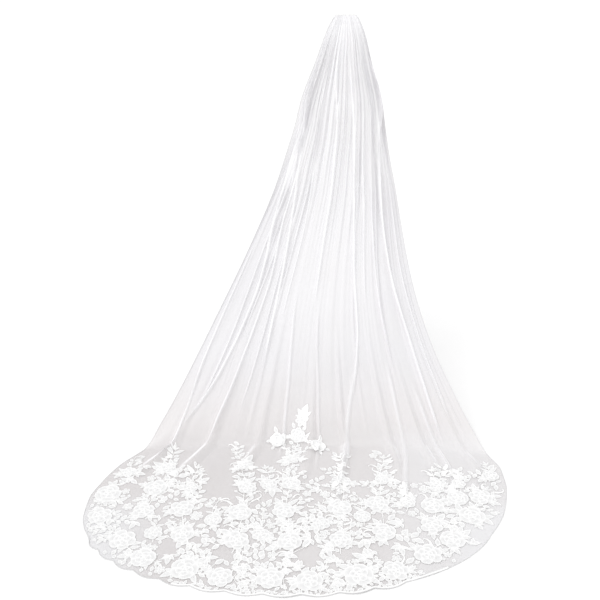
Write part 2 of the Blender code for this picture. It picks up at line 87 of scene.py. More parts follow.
# How dense the tulle looks where it lies in folds, and where its colour takes painted light and shade.
# A pair is where something starts and over what length it comes up: of the drop below the comb, or of
# the place across the cloth from -1 to 1.  Where the length is negative it dies away instead.
HANGING_ENDS = (COMB_ABOVE_FLOOR + 0.01, -0.11)
FOLDS_END = (COMB_ABOVE_FLOOR + 0.05, -0.12)
LOW = (1.25, 0.30)
LOW_LEFT, LEFT_PART = (1.15, 0.30), (0.10, -0.60)
BELOW_WAIST, ABOVE_KNEE = (0.62, 0.20), (1.42, -0.28)
SIDE_PARTS = (0.35, 0.35)
ON_TRAIN = (COMB_ABOVE_FLOOR - 0.30, 0.26)
ON_FLOOR, RIGHT_PART = (COMB_ABOVE_FLOOR - 0.08, 0.08), (0.30, 0.25)
NEAR_HEM, CORNER_PARTS = (0.50, 0.30), (0.45, 0.35)
LAYERS_SHOW = 0.65           # packed layers lie partly in each other's shade
FOLDS_BEHIND = 0.75          # share of the hanging tulle that is seen through another fold of it
LOW_FOLDS = 0.40             # the same, more, where the hanging part runs down to the floor
LOW_LEFT_FOLDS = 0.80        # the same, more, low on the left where the folds gather
PACKED_PAINTED_WHITENING = 0.60          # how fast gathered layers take painted light, a whiter colour, as they pack together
PACKED_MOST = 8.0
SIDE_PAINTED_WHITENING_LOSS = 0.65            # share of that painted whitening that the two sides lose at hip height
SIDE_PAINTED_SHEEN_LOSS = 0.70            # share of the painted sheen, a whiter colour at grazing angles, that they lose there
SIDE_FOLDS = 0.50            # and the folds that lie behind one another there
RIGHT_PAINTED_LIGHT = 0.50           # how much paler the train's colour is painted on its right, as painted light

Hang = namedtuple("Hang", "drop left right side_y back_y wrap_deg fold")
HANG = (
    Hang(0.000, -0.046, 0.046, -0.0105, -0.0135, 20, 0.0012),
    Hang(0.012, -0.053, 0.052, -0.0150, -0.0310, 40, 0.0020),
    Hang(0.045, -0.070, 0.068, -0.0190, -0.0580, 60, 0.0035),
    Hang(0.100, -0.091, 0.088, -0.0200, -0.0800, 70, 0.0050),
    Hang(0.180, -0.117, 0.108, -0.0150, -0.0950, 72, 0.0070),
    Hang(0.360, -0.180, 0.165, 0.0100, -0.1220, 70, 0.0110),
    Hang(0.470, -0.209, 0.184, -0.0050, -0.1350, 66, 0.0120),
    Hang(0.600, -0.256, 0.207, -0.0450, -0.1520, 60, 0.0130),
    Hang(0.740, -0.312, 0.237, -0.1000, -0.1800, 52, 0.0140),
    Hang(0.900, -0.388, 0.266, -0.1650, -0.2200, 46, 0.0150),
    Hang(1.070, -0.475, 0.299, -0.2600, -0.2900, 40, 0.0160),
    Hang(1.220, -0.558, 0.339, -0.3600, -0.3750, 36, 0.0160),
    Hang(1.360, -0.638, 0.392, -0.4750, -0.4750, 32, 0.0150),
    Hang(1.480, -0.712, 0.454, -0.6000, -0.5800, 28, 0.0120),
    Hang(1.580, -0.782, 0.514, -0.7200, -0.6850, 26, 0.0080),
)
Train = namedtuple("Train", "left_x left_y right_x right_y back_y wrap_deg ridge")
TRAIN = (
    Train(-0.850, -0.825, 0.578, -0.866, -0.800, 22, 1.00),
    Train(-0.925, -0.930, 0.605, -0.955, -0.950, 35, 0.52),
    Train(-0.972, -1.045, 0.602, -1.045, -1.110, 45, 0.00),
    Train(-0.994, -1.140, 0.582, -1.135, -1.250, 55, 0.00),
    Train(-0.990, -1.230, 0.552, -1.220, -1.385, 63, 0.00),
    Train(-0.970, -1.300, 0.512, -1.290, -1.510, 69, 0.00),
    Train(-0.935, -1.357, 0.475, -1.340, -1.612, 73, 0.00),
)
Ridge = namedtuple("Ridge", "across height half_wide")
RIDGES = (
    Ridge(-0.84, 0.016, 0.050),
    Ridge(-0.62, 0.022, 0.055),
    Ridge(-0.33, 0.014, 0.045),
    Ridge(-0.02, 0.012, 0.040),
    Ridge(0.17, 0.018, 0.032),
    Ridge(0.44, 0.016, 0.040),
    Ridge(0.63, 0.018, 0.040),
    Ridge(0.86, 0.010, 0.040),
)

# Narrow creases of doubled tulle, each along a path of (metres down the cloth, place across it).
Crease = namedtuple("Crease", "height half_wide path")
CREASES = (
    Crease(0.015, 0.010, ((0.10, -0.86), (0.385, -0.783), (0.82, -0.567), (1.12, -0.452), (1.55, -0.40))),
    Crease(0.016, 0.011, ((0.20, -0.90), (0.75, -0.83), (1.225, -0.668), (1.57, -0.735), (1.84, -0.86))),
    Crease(0.010, 0.008, ((0.60, -0.72), (1.00, -0.78), (1.37, -0.756), (1.75, -0.80))),
    Crease(0.012, 0.009, ((0.95, -0.95), (1.50, -0.92), (1.817, -0.853), (2.05, -0.84))),
    Crease(0.013, 0.009, ((0.30, -0.62), (0.80, -0.66), (1.20, -0.56), (1.60, -0.60), (1.92, -0.64))),
    Crease(0.009, 0.008, ((0.25, -0.74), (0.65, -0.73), (1.05, -0.62), (1.45, -0.66))),
    Crease(0.009, 0.008, ((0.12, -0.50), (0.60, -0.40), (1.00, -0.33), (1.40, -0.34))),
    Crease(0.008, 0.007, ((0.50, -0.50), (0.95, -0.50), (1.35, -0.47), (1.80, -0.50))),
    Crease(0.013, 0.008, ((0.08, -0.26), (0.28, -0.187), (0.50, -0.09), (0.62, -0.076), (1.30, -0.05))),
    Crease(0.010, 0.012, ((1.20, -0.25), (1.60, -0.20), (2.02, -0.18))),
    Crease(0.008, 0.010, ((1.25, -0.02), (1.70, 0.02), (2.10, 0.03))),
    Crease(0.014, 0.009, ((0.15, 0.12), (0.50, 0.20), (0.92, 0.286), (1.36, 0.346), (1.74, 0.24))),
    Crease(0.011, 0.015, ((1.52, 0.31), (1.85, 0.193), (2.10, 0.165), (2.36, 0.145))),
    Crease(0.010, 0.008, ((0.10, 0.40), (0.50, 0.36), (0.90, 0.42), (1.30, 0.44))),
    Crease(0.010, 0.008, ((0.20, 0.60), (0.70, 0.52), (1.10, 0.56), (1.55, 0.60))),
    Crease(0.016, 0.010,
           ((0.12, 0.86), (0.43, 0.775), (0.75, 0.662), (1.17, 0.747), (1.45, 0.80), (1.90, 0.76))),
    Crease(0.010, 0.008, ((0.50, 0.88), (1.00, 0.87), (1.40, 0.90), (1.82, 0.88))),
    Crease(0.010, 0.015, ((1.50, 0.56), (1.85, 0.525), (2.11, 0.473), (2.34, 0.45))),
    Crease(0.009, 0.015, ((1.60, 0.72), (1.888, 0.711), (2.124, 0.704), (2.30, 0.70))),
)
CREASE_FADE = 0.16           # length over which a crease rises and dies away
CREASE_HIGHLIGHT_FULL = 0.014         # height from which its doubled tulle takes the full painted highlight
CREASE_HIGHLIGHT_POWER = 1.6     # and how late below that height the painted highlight starts

# Lace: plan places of each spray's stem, and its roses as share of the stem, radius, sideways offset.
Spray = namedtuple("Spray", "name root_x root_y tip_x tip_y bend flowers")
FLOWERS = {
    "border": ((0.20, 0.050, 0.004), (0.76, 0.046, -0.004)),
    "tall": ((0.12, 0.043, 0.000), (0.42, 0.046, 0.010), (0.70, 0.030, -0.006)),
    "middle": ((0.10, 0.046, 0.0), (0.33, 0.046, 0.012), (0.56, 0.038, -0.010), (0.78, 0.027, 0.0)),
    "short": ((0.22, 0.043, 0.000), (0.66, 0.029, 0.005)),
    "posy": ((0.35, 0.034, 0.000),),
}
SPRAYS = (
    Spray("hem_1", -0.925, -1.060, -0.905, -1.290, -0.020, "border"),
    Spray("hem_2", -0.852, -1.330, -0.680, -1.475, -0.012, "border"),
    Spray("hem_3", -0.625, -1.490, -0.405, -1.540, -0.010, "border"),
    Spray("hem_4", -0.345, -1.545, -0.110, -1.555, 0.000, "border"),
    Spray("hem_5", -0.045, -1.550, 0.170, -1.500, 0.010, "border"),
    Spray("hem_6", 0.215, -1.470, 0.380, -1.335, 0.018, "border"),
    Spray("hem_7", 0.425, -1.280, 0.515, -1.085, 0.018, "border"),
    Spray("tall_1", -0.790, -1.260, -0.720, -0.815, -0.015, "tall"),
    Spray("tall_2", -0.605, -1.385, -0.608, -0.940, 0.020, "tall"),
    Spray("tall_3", -0.430, -1.430, -0.465, -0.805, -0.040, "middle"),
    Spray("tall_4", -0.225, -1.445, -0.200, -0.735, 0.032, "middle"),
    Spray("tall_5", -0.065, -1.430, -0.030, -0.865, -0.010, "tall"),
    Spray("tall_6", 0.105, -1.385, 0.145, -0.870, 0.020, "tall"),
    Spray("tall_7", 0.260, -1.330, 0.330, -0.965, -0.018, "tall"),
    Spray("tall_8", 0.380, -1.175, 0.430, -0.985, -0.012, "short"),
    Spray("edge_left", -0.870, -1.035, -0.865, -0.870, 0.012, "posy"),
    Spray("edge_right", 0.540, -1.035, 0.552, -0.930, -0.010, "posy"),
    Spray("posy_1", -0.715, -1.375, -0.700, -1.240, 0.010, "posy"),
    Spray("posy_2", -0.520, -1.310, -0.530, -1.165, -0.010, "posy"),
    Spray("posy_3", -0.325, -1.390, -0.335, -1.230, 0.010, "posy"),
    Spray("posy_4", -0.325, -1.110, -0.335, -0.950, -0.010, "posy"),
    Spray("posy_5", -0.135, -1.330, -0.125, -1.180, -0.010, "posy"),
    Spray("posy_6", 0.032, -1.290, 0.040, -1.150, 0.006, "posy"),
    Spray("posy_7", 0.190, -1.210, 0.205, -1.065, -0.010, "posy"),
)
# Small roses round the tip of the tallest spray, each on a twig from that share of its stem.
Crown = namedtuple("Crown", "x y radius share")
CROWN = (Crown(-0.292, -0.774, 0.034, 0.84), Crown(-0.208, -0.752, 0.033, 0.93),
         Crown(-0.122, -0.804, 0.035, 0.84))
CROWN_LIFT = 0.0016          # the crown's roses stand clear of the folds they cross
CROWN_TIP = ((-0.204, -0.726), (-0.188, -0.690))     # a small flower and a fan of leaves above them
CROWNED = "tall_4"
CROWN_TWIG_LEAVES = ((0.18, 0.8), (0.32, -0.8), (0.46, 0.8), (0.60, -0.8))   # share of the twig, turn
CROWN_ROUND_LEAVES = (-1.9, -0.7, 0.7, 1.9)
CROWN_LEAF_SCALE = 0.75
CROWN_TIP_SCALE = 1.2
# Windows of plain tulle that the small motifs leave open.
WINDOWS = (                  # x, y and radius
    (-0.823, -1.090, 0.024), (-0.728, -1.315, 0.046), (-0.878, -1.400, 0.022), (-0.766, -1.190, 0.020),
    (-0.660, -1.405, 0.026), (-0.482, -1.084, 0.036), (-0.619, -0.856, 0.050), (-0.455, -1.420, 0.028),
    (-0.167, -1.439, 0.032), (-0.045, -1.439, 0.022), (0.104, -1.386, 0.018), (-0.141, -0.898, 0.032),
    (0.002, -1.078, 0.016), (-0.398, -1.144, 0.022), (0.097, -1.245, 0.022), (0.196, -1.272, 0.020),
    (0.305, -1.178, 0.024), (0.089, -1.425, 0.020), (0.260, -1.508, 0.050), (0.453, -1.330, 0.045),
    (0.399, -1.448, 0.045), (-0.530, -0.850, 0.050), (-0.528, -0.950, 0.045), (-0.516, -1.040, 0.040),
    (-0.350, -0.830, 0.050), (-0.345, -0.920, 0.036), (0.012, -0.900, 0.034), (0.015, -0.985, 0.028),
    (0.235, -0.900, 0.045), (0.238, -0.995, 0.036), (0.410, -0.880, 0.050), (0.490, -0.930, 0.034),
    (-0.805, -0.870, 0.030),
)

LACE_GAP = 0.0004            # between tulle and lace
LACE_TALL = 0.0008
LACE_TOP = -1.636            # no small motif climbs higher up the hanging part than this
ABOVE_LACE = -1.0
ROSE_RADIUS = 0.050          # of a rose as it is drawn
ROSE_FITS = 0.048            # the radius in a spray that it is drawn for
ROSE_LIFT = 0.0008           # roses lie on the leaves round them
PETAL_TALL = 0.0010
CORD_WIDE = 0.0014           # raised cord round each petal
LEAF_CORD_WIDE = 0.0011
FILL_SUNK = 0.0005
RIB_WIDE = 0.0009
RIB_TALL = 0.0011
LAP = 0.00030                # most by which one motif is raised over the next
CURVE_STEPS = 12             # steps in a curved twig or tendril
HOOK_WIDE, HOOK_TIP_WIDE = 0.0080, 0.0010
STEM_WIDE = 0.0034
STEM_SWAY = 0.0045
STEM_WAVE = 38.0
STEM_STEP = 0.010
STEM_LEAF_STEP = 0.015       # spacing of the short leaves that hug a stem, and of the twigs beside them
TWIG_STEP = 0.026
TWIG_WIDE = 0.0022
MOTIF_LAP = 0.0035           # how far small motifs may lie over what is laid already
TIP_LEAVES = ((0.0, 0.62), (0.75, 0.52), (-0.75, 0.52))     # turn aside and length at a spray's tip
COLLAR_LEAVES = 7
COLLAR_OVER_ROSE = 0.010
COLLAR_OVER_OTHER = 0.016
LEAF_LONG = 0.050
LEAF_HALF_WIDE = 0.0088
LEAF_PAIR_SPACING = 0.100
HEM_MARGIN = 0.005
# Top of the band, as y over x: nearer the hem than this, lace fills the space between the sprays.
BAND_TOP = (
    (-0.97, -1.04), (-0.85, -1.05), (-0.77, -1.02), (-0.66, -0.98), (-0.58, -1.05), (-0.52, -1.16),
    (-0.46, -1.16), (-0.41, -1.02), (-0.32, -1.06), (-0.22, -1.00), (-0.12, -1.04), (-0.05, -1.10),
    (0.01, -1.19), (0.06, -1.13), (0.13, -1.04), (0.21, -1.09), (0.26, -1.14), (0.32, -1.05),
    (0.38, -1.10), (0.44, -1.15), (0.50, -1.05), (0.60, -1.00),
)
FILL_REACH = 0.13            # how far from a stem that lace lies, in the band and above it
FILL_REACH_ABOVE = 0.022
TRIM_FROM, TRIM_TO = -0.62, 0.30     # stretch of the hem whose lace trim reaches the edge
TRIM_STARTS = -1.40
TRIM_STEP = 0.0105
TRAIN_MIDDLE = (-0.2, -1.0)
TRIM_ROWS = (                # metres in from the hem, kinds of motif, scale
    (0.005, ("sprig",), 0.58), (0.013, ("bud", "sprig"), 0.75),
    (0.024, ("sprig", "blossom"), 0.80), (0.036, ("sprig", "palm"), 0.75),
)
TRIM_LAP = 0.0062
TRIM_MARGIN = 0.0008
BUD_INSET = 0.0125           # single buds along the rest of the hem
BUD_SCALE = 0.9
BUD_TURN = 1.2
BUD_LAP = 0.003
CROWDING = ((-1.60, 0.0025), (-1.48, 0.0), (-1.34, 0.0), (-1.22, -0.0040), (-1.00, -0.0050))
BRAID_WIDE = 0.0070          # lace braid just inside that stretch of the hem
BRAID_INSET = 0.0038
EDGE_CORD_RADIUS = 0.0012
EDGE_CORD_LIFT = 0.0006
STITCHES = 22                # loops of thread that bind the gathers to the comb
STITCH_POINTS = 12
STITCH_DEEP, STITCH_TALL, STITCH_SLANT = 0.0058, 0.0034, 0.0012
STITCH_RADIUS = 0.00028
SPINE_BOW = 0.003            # how far the comb's spine curves back in its middle
SPINE_ENDS = 0.003           # the tape's ends that carry no stitch
SPINE_BACK = -0.0030


# ------------------------ the drape of the tulle
def section(rows, across):
    """Plan points of sections that wrap round, one row of points for each row of the table."""
    left_x, left_y, right_x, right_y, back_y = (rows[:, k, None] for k in range(5))
    wrap = np.radians(rows[:, 5, None])
    angle = across * wrap
    x = (left_x + right_x) / 2 + (right_x - left_x) / 2 * np.sin(angle) / np.sin(wrap)
    side_y = left_y + (right_y - left_y) * (x - left_x) / (right_x - left_x)
    bow = (np.cos(angle) - np.cos(wrap)) / (1.0 - np.cos(wrap))
    z = np.broadcast_to(rows[:, 6, None], x.shape)
    return np.stack([x, side_y + (back_y - side_y) * bow, z], axis=-1)


def key_rows():
    """left x, left y, right x, right y, back y, wrap, z, fold depth, how far the ridges have grown."""
    rows = []
    for row in HANG:
        grown = max(0.0, (row.drop - RIDGE_STARTS) / (COMB_ABOVE_FLOOR - RIDGE_STARTS))
        rows.append((row.left, row.side_y, row.right, row.side_y, row.back_y, row.wrap_deg, -row.drop,
                     row.fold, grown))
    for row in TRAIN:
        rows.append((row.left_x, row.left_y, row.right_x, row.right_y, row.back_y, row.wrap_deg,
                     TULLE_ON_FLOOR, 0.0, row.ridge))
    return np.array(rows)


def smooth_rows(at, keys, values):
    """Monotone cubic through the key rows, so that nothing swings past a row."""
    step = np.diff(keys)[:, None]
    rise = np.diff(values, axis=0) / step
    slope = np.zeros_like(values)
    slope[0] = rise[0]
    slope[-1] = rise[-1]
    same = rise[:-1] * rise[1:] > 0
    w1 = 2 * step[1:] + step[:-1]
    w2 = step[1:] + 2 * step[:-1]
    safe0 = np.where(same, rise[:-1], 1.0)
    safe1 = np.where(same, rise[1:], 1.0)
    slope[1:-1] = np.where(same, (w1 + w2) / (w1 / safe0 + w2 / safe1), 0.0)
    k = np.clip(np.searchsorted(keys, at, side="right") - 1, 0, len(keys) - 2)
    t = ((at - keys[k]) / (keys[k + 1] - keys[k]))[:, None]
    h = step[k]
    return (values[k] * (1 + 2 * t) * (1 - t) ** 2 + slope[k] * h * t * (1 - t) ** 2
            + values[k + 1] * t * t * (3 - 2 * t) + slope[k + 1] * h * t * t * (t - 1))


def gather_place(turn):
    even = -1.0 + 2.0 * turn / GATHERS
    return even + GATHER_UNEVEN * np.sin(7.0 * even + 0.6) * (1.0 - even * even)


def fold_shares(turn):
    """How much each fold deepens or fades lower down, eased from one fold to the next."""
    fold = np.floor(turn)
    ease = 0.5 - 0.5 * np.cos(math.pi * (turn - fold))
    here = np.sin(2.4 * fold + 0.8)
    following = np.sin(2.4 * (fold + 1) + 0.8)
    return here + (following - here) * ease


def eased(share):
    share = np.clip(share, 0.0, 1.0)
    return share * share * (3.0 - 2.0 * share)


def risen(value, start, length):
    """0 up to the start and 1 a length further on, or the other way where the length is negative."""
    return eased((value - start) / length)


def crease_height(base, down, wandering):
    """Height of the narrow creases over the grid of points."""
    steps = np.linalg.norm(np.diff(base, axis=1), axis=2)
    along = np.concatenate([np.zeros((len(base), 1)), np.cumsum(steps, axis=1)], axis=1)
    total = np.zeros(base.shape[:2])
    for crease in CREASES:
        path = np.array(crease.path)
        place = smooth_rows(np.clip(down, path[0, 0], path[-1, 0] - 1e-9), path[:, 0], path[:, 1:])[:, 0]
        centre = np.array([np.interp(p, w, a) for p, w, a in zip(place, wandering, along)])
        away = np.minimum(np.abs(along - centre[:, None]) / crease.half_wide, 1.0)
        rise = risen(down, path[0, 0], CREASE_FADE) * risen(down, path[-1, 0], -CREASE_FADE)
        total = np.maximum(total, crease.height * rise[:, None] * (0.5 + 0.5 * np.cos(math.pi * away)))
    return total


def ridge_height(across):
    height = np.zeros_like(across)
    for ridge in RIDGES:
        away = np.minimum(np.abs(across - ridge.across) / ridge.half_wide, 1.0)
        height = np.maximum(height, ridge.height * (0.5 + 0.5 * np.cos(math.pi * away)))
    return height


def scallop(across):
    turn = (across + 1.0) / (SCALLOPS_END + 1.0) * SCALLOPS
    out = SCALLOP_DEEP * np.sin(math.pi * (turn - np.floor(turn)))
    return np.where(across > SCALLOPS_END, 0.0, out)


def fold_height(turn, across, drop, down, depth):
    """Height of the folds: even near the comb, calmer and grouped lower down, with finer ones on them.

    The rates and phases of the waves only make one fold unlike the next.
    """
    share = 1.0 + FOLDS_VARY * fold_shares(turn)[None, :] * np.minimum(1.0, drop / FOLDS_VARY_BY)
    calm = risen(drop, *CALM)
    strays = (STRAY + STRAY_CALM * calm) * np.sin(1.9 * turn + 0.4)[None, :]
    uneven_turn = turn[None, :] + strays + STRAY_UNEVEN * calm * np.sin(3.1 * turn + 2.0)[None, :]
    peak = (0.5 + 0.5 * np.cos(2.0 * math.pi * uneven_turn)) ** (1.0 + 1.0 * calm)
    own = OWN_DEPTH + OWN_VARIES * np.sin(4.3 * turn + 1.0)[None, :]
    group = GROUP_DEPTH + GROUP_VARIES * np.sin(1.15 * turn + 0.9)
    group = group + GROUP_SIDES * np.abs(across[0]) ** 1.5
    own = own * (1.0 - calm * (1.0 - group[None, :]))
    height = depth * share * own * (1.0 - CALM_SHARE * calm) * (2.0 * peak - 1.0)
    fine_turn = 2.0 * math.pi * (2.37 * turn + 0.5 * np.sin(1.3 * turn))[None, :] + 1.6 * down[:, None]
    fine = FINE_FOLDS * np.clip(FINE_UNTIL - drop, FINE_LEAST, 1.0)
    return height + depth * fine * np.cos(fine_turn)


def ripple_height(wandering, drop, down):
    """Height of the small ripples of the tulle that lies on the floor."""
    on_floor = np.clip((drop - RIPPLE_FROM) / RIPPLE_OVER, 0.0, 1.0)
    one_way = np.sin(9.0 * wandering + 3.1 * down[:, None])
    other_way = np.sin(14.0 * wandering - 2.3 * down[:, None] + 1.0)
    return on_floor * RIPPLE * np.clip(one_way * other_way, 0.0, 1.0)


def drape():
    """Grid of points on the draped tulle, row by row from the comb to the hem."""
    keys = key_rows()
    middle = np.column_stack([(keys[:, 0] + keys[:, 2]) / 2, keys[:, 4], keys[:, 6]])
    run = np.concatenate([[0.0], np.cumsum(np.linalg.norm(np.diff(middle, axis=0), axis=1))])
    down = np.linspace(0.0, run[-1], ROWS)
    rows = smooth_rows(down, run, keys)
    turn = np.arange(GATHERS * COLUMNS_PER_GATHER + 1) / COLUMNS_PER_GATHER
    across = gather_place(turn)[None, :]
    sway = SWAY * np.sin(2.6 * down[:, None] + 5.0 * across) * np.minimum(down[:, None] / SWAY_FULL, 1.0)
    wandering = across + sway * (1.0 - across * across)
    base = section(rows, wandering)
    drop = -base[:, :, 2]
    creases = crease_height(base, down, wandering)
    height = fold_height(turn, across, drop, down, rows[:, 7, None])
    height = height + rows[:, 8, None] * ridge_height(wandering)
    height = height + creases
    height = height + ripple_height(wandering, drop, down)

    out = np.cross(np.gradient(base, axis=0), np.gradient(base, axis=1))
    out /= np.linalg.norm(out, axis=2, keepdims=True)
    points = base + out * height[:, :, None]

    hem_way = np.gradient(base[-1], axis=0)
    hem_out = np.column_stack([hem_way[:, 1], -hem_way[:, 0], np.zeros(len(hem_way))])
    hem_out /= np.linalg.norm(hem_out, axis=1, keepdims=True)
    near_hem = np.clip(1.0 - (run[-1] - down) / SCALLOP_REACH, 0.0, 1.0)[:, None, None]
    points += near_hem * hem_out[None] * scallop(gather_place(turn))[None, :, None]
    points[:, :, 2] = np.maximum(points[:, :, 2], TULLE_ON_FLOOR)
    return points, turn, down, creases


def layers_of(points, across):
    """Painted whitening of the packed gathers, how many folds lie one behind another, and the sides."""
    width = np.linalg.norm(np.diff(points, axis=1), axis=2).sum(axis=1)
    drop = -points[:, points.shape[1] // 2, 2]
    hanging = risen(drop, *CALM) * risen(drop, *HANGING_ENDS)
    low_left = risen(drop, *LOW_LEFT)[:, None] * risen(across, *LEFT_PART)[None, :]
    gathered = np.clip(FLAT_WIDTH / width, 1.0, PACKED_MOST) ** LAYERS_SHOW
    behind = (1.0 + (FOLDS_BEHIND + LOW_FOLDS * risen(drop, *LOW)) * hanging)[:, None]
    behind = behind + LOW_LEFT_FOLDS * low_left * risen(drop, *FOLDS_END)[:, None]
    hips = risen(drop, *BELOW_WAIST) * risen(drop, *ABOVE_KNEE)
    sides = hips[:, None] * risen(np.abs(across), *SIDE_PARTS)[None, :]
    behind = behind + SIDE_FOLDS * sides
    packed = np.minimum(1.0, PACKED_PAINTED_WHITENING * (gathered - 1.0))[:, None] * (1.0 - SIDE_PAINTED_WHITENING_LOSS * sides)
    return packed, gathered[:, None] * behind, sides


def painted_light_on_train(points, across, down):
    """Painted light: 1 where the tulle lies singly on the floor at the train's outer corners, less on its
    right.
    """
    right = risen(-points[:, :, 2], *ON_FLOOR) * risen(across, *RIGHT_PART)[None, :]
    before_hem, length = NEAR_HEM
    low = risen(down, down[-1] - before_hem, length)[:, None]
    return np.maximum(risen(np.abs(across), *CORNER_PARTS)[None, :] * low, RIGHT_PAINTED_LIGHT * right)


def make_tulle(points, turn, down, creases):
    rows, columns = points.shape[:2]
    across = gather_place(turn)
    packed, layers, sides = layers_of(points, across)
    bm = bmesh.new()
    # Besides layers (opacity) and train (tone on the floor), these carry painted light: packed, outer and
    # crease whiten the colour, and side is the share of painted sheen that the sides lose.
    shown = [(bm.verts.layers.float.new(name), grid) for name, grid in (
        ("layers", layers),
        ("packed", packed),
        ("outer", painted_light_on_train(points, across, down)),
        ("train", risen(-points[:, :, 2], *ON_TRAIN)),
        ("side", SIDE_PAINTED_SHEEN_LOSS * sides),
        ("crease", np.minimum(1.0, creases / CREASE_HIGHLIGHT_FULL) ** CREASE_HIGHLIGHT_POWER),
    )]
    bmesh.ops.create_grid(bm, x_segments=columns - 1, y_segments=rows - 1, size=1.0)
    uv = bm.loops.layers.uv.new("cloth")
    cloth = {}
    for vert in bm.verts:
        column = round((vert.co.x + 1.0) / 2.0 * (columns - 1))
        row = round((1.0 - vert.co.y) / 2.0 * (rows - 1))
        cloth[vert] = (turn[column] / GATHERS * FLAT_WIDTH, FLAT_LENGTH - down[row])
        for layer, grid in shown:
            vert[layer] = grid[row, column]
        vert.co = points[row, column]
    for face in bm.faces:
        face.smooth = True
        for loop in face.loops:
            loop[uv].uv = cloth[loop.vert]
    bm.normal_update()
    return bm


# ------------------------ lace motifs, flat, base at the origin
Motif = namedtuple("Motif", "mesh discs")
FILL = 1                     # material slot of the fill; the cords have the first one


def new_motif_mesh():
    bm = bmesh.new()
    bm.verts.layers.float.new("close")
    return bm


def plate(bm, outline, tall=LACE_TALL, cord=CORD_WIDE):
    """A closed shape with a raised cord round it and a sunken fill, sheerer towards its middle."""
    close = bm.verts.layers.float["close"]
    face = bm.faces.new([bm.verts.new((x, y, 0.0)) for x, y in outline])
    face.normal_update()
    if face.normal.z < 0:
        face.normal_flip()
    base = list(face.verts)
    top = bmesh.ops.extrude_discrete_faces(bm, faces=[face])["faces"][0]
    bmesh.ops.translate(bm, verts=top.verts, vec=(0.0, 0.0, tall))
    raised = list(top.verts)
    bmesh.ops.inset_individual(bm, faces=[top], thickness=cord, depth=0.0, use_even_offset=True)
    raised += top.verts
    bmesh.ops.inset_individual(bm, faces=[top], thickness=cord * 0.35, depth=-FILL_SUNK)
    raised += top.verts
    top.material_index = FILL
    poked = bmesh.ops.poke(bm, faces=[top])
    for part in poked["faces"]:
        part.material_index = FILL
    for vert in base + raised:
        vert[close] = 1.0
    for vert in poked["verts"]:
        vert[close] = 0.0


def turned(outline, angle, x=0.0, y=0.0):
    cos, sin = math.cos(angle), math.sin(angle)
    return [(x + a * cos - b * sin, y + a * sin + b * cos) for a, b in outline]


def petal(start, length, half_wide, base_wide):
    """A petal from start to start + length along x, with a round, lightly notched end."""
    side = ((0.0, base_wide), (0.24, 0.55 * half_wide + 0.45 * base_wide), (0.46, half_wide),
            (0.70, 0.93 * half_wide), (0.88, 0.64 * half_wide), (0.98, 0.28 * half_wide))
    upper = [(start + a * length, b) for a, b in side]
    notch = (start + 0.95 * length, 0.0)
    return [(a, -b) for a, b in upper] + [notch] + upper[::-1]


LEAF_SIDE = ((0.10, 0.42), (0.28, 0.86), (0.48, 1.0), (0.70, 0.76), (0.88, 0.36))


def leaf_outline(length, half_wide):
    upper = [(a * length, b * half_wide) for a, b in LEAF_SIDE]
    return [(0.0, 0.0)] + [(a, -b) for a, b in upper] + [(length, 0.0)] + upper[::-1]


def off(x, y, reach, angle):
    """The place that far from (x, y) in that direction."""
    return x + reach * math.cos(angle), y + reach * math.sin(angle)


def beside(x, y, heading, aside):
    """The place that far to the left of (x, y), seen along the heading."""
    return x - aside * math.sin(heading), y + aside * math.cos(heading)


def walk(length, headings):
    """A path from the origin in equal steps, each in its own heading."""
    path = []
    x = y = 0.0
    step = length / (len(headings) - 1)
    for heading in headings:
        path.append((x, y))
        x += step * math.cos(heading)
        y += step * math.sin(heading)
    return path


def tapering(wide, loss, steps):
    """Widths along a path that loses that share of its width."""
    return [wide * (1.0 - loss * k / steps) for k in range(steps + 1)]


def own_lift(number):
    """A small lift, different for every number, so that no two pieces of lace lie in one plane."""
    return LAP * ((0.618034 * number) % 1.0)


def lift_since(bm, first, lift):
    """Raises the vertices made since the mesh had that many."""
    bm.verts.ensure_lookup_table()
    bmesh.ops.translate(bm, verts=bm.verts[first:], vec=(0.0, 0.0, lift))


def ribbed_leaf(bm, length, half_wide, angle, x=0.0, y=0.0, lift=0.0):
    """A pointed leaf with a raised rib along its middle."""
    first = len(bm.verts)
    plate(bm, turned(leaf_outline(length, half_wide), angle, x, y), cord=LEAF_CORD_WIDE)
    rib = turned([(length * share, 0.0) for share in (0.04, 0.35, 0.66)], angle, x, y)
    path_strip(bm, rib, [RIB_WIDE * share for share in (1.3, 1.0, 0.6)], tall=RIB_TALL)
    lift_since(bm, first, lift)


def finish_motif(bm, discs):
    bmesh.ops.holes_fill(bm, edges=[edge for edge in bm.edges if edge.is_boundary], sides=0)
    bmesh.ops.recalc_face_normals(bm, faces=bm.faces)
    mesh = bpy.data.meshes.new("motif")
    bm.to_mesh(mesh)
    bm.free()
    return Motif(mesh, discs)


Whorl = namedtuple("Whorl", "petals inner outer lift lap")
INNER_WHORLS = (Whorl(5, 0.10, 0.66, 0.0006, 1.12), Whorl(3, -0.08, 0.36, 0.0012, 0.80))


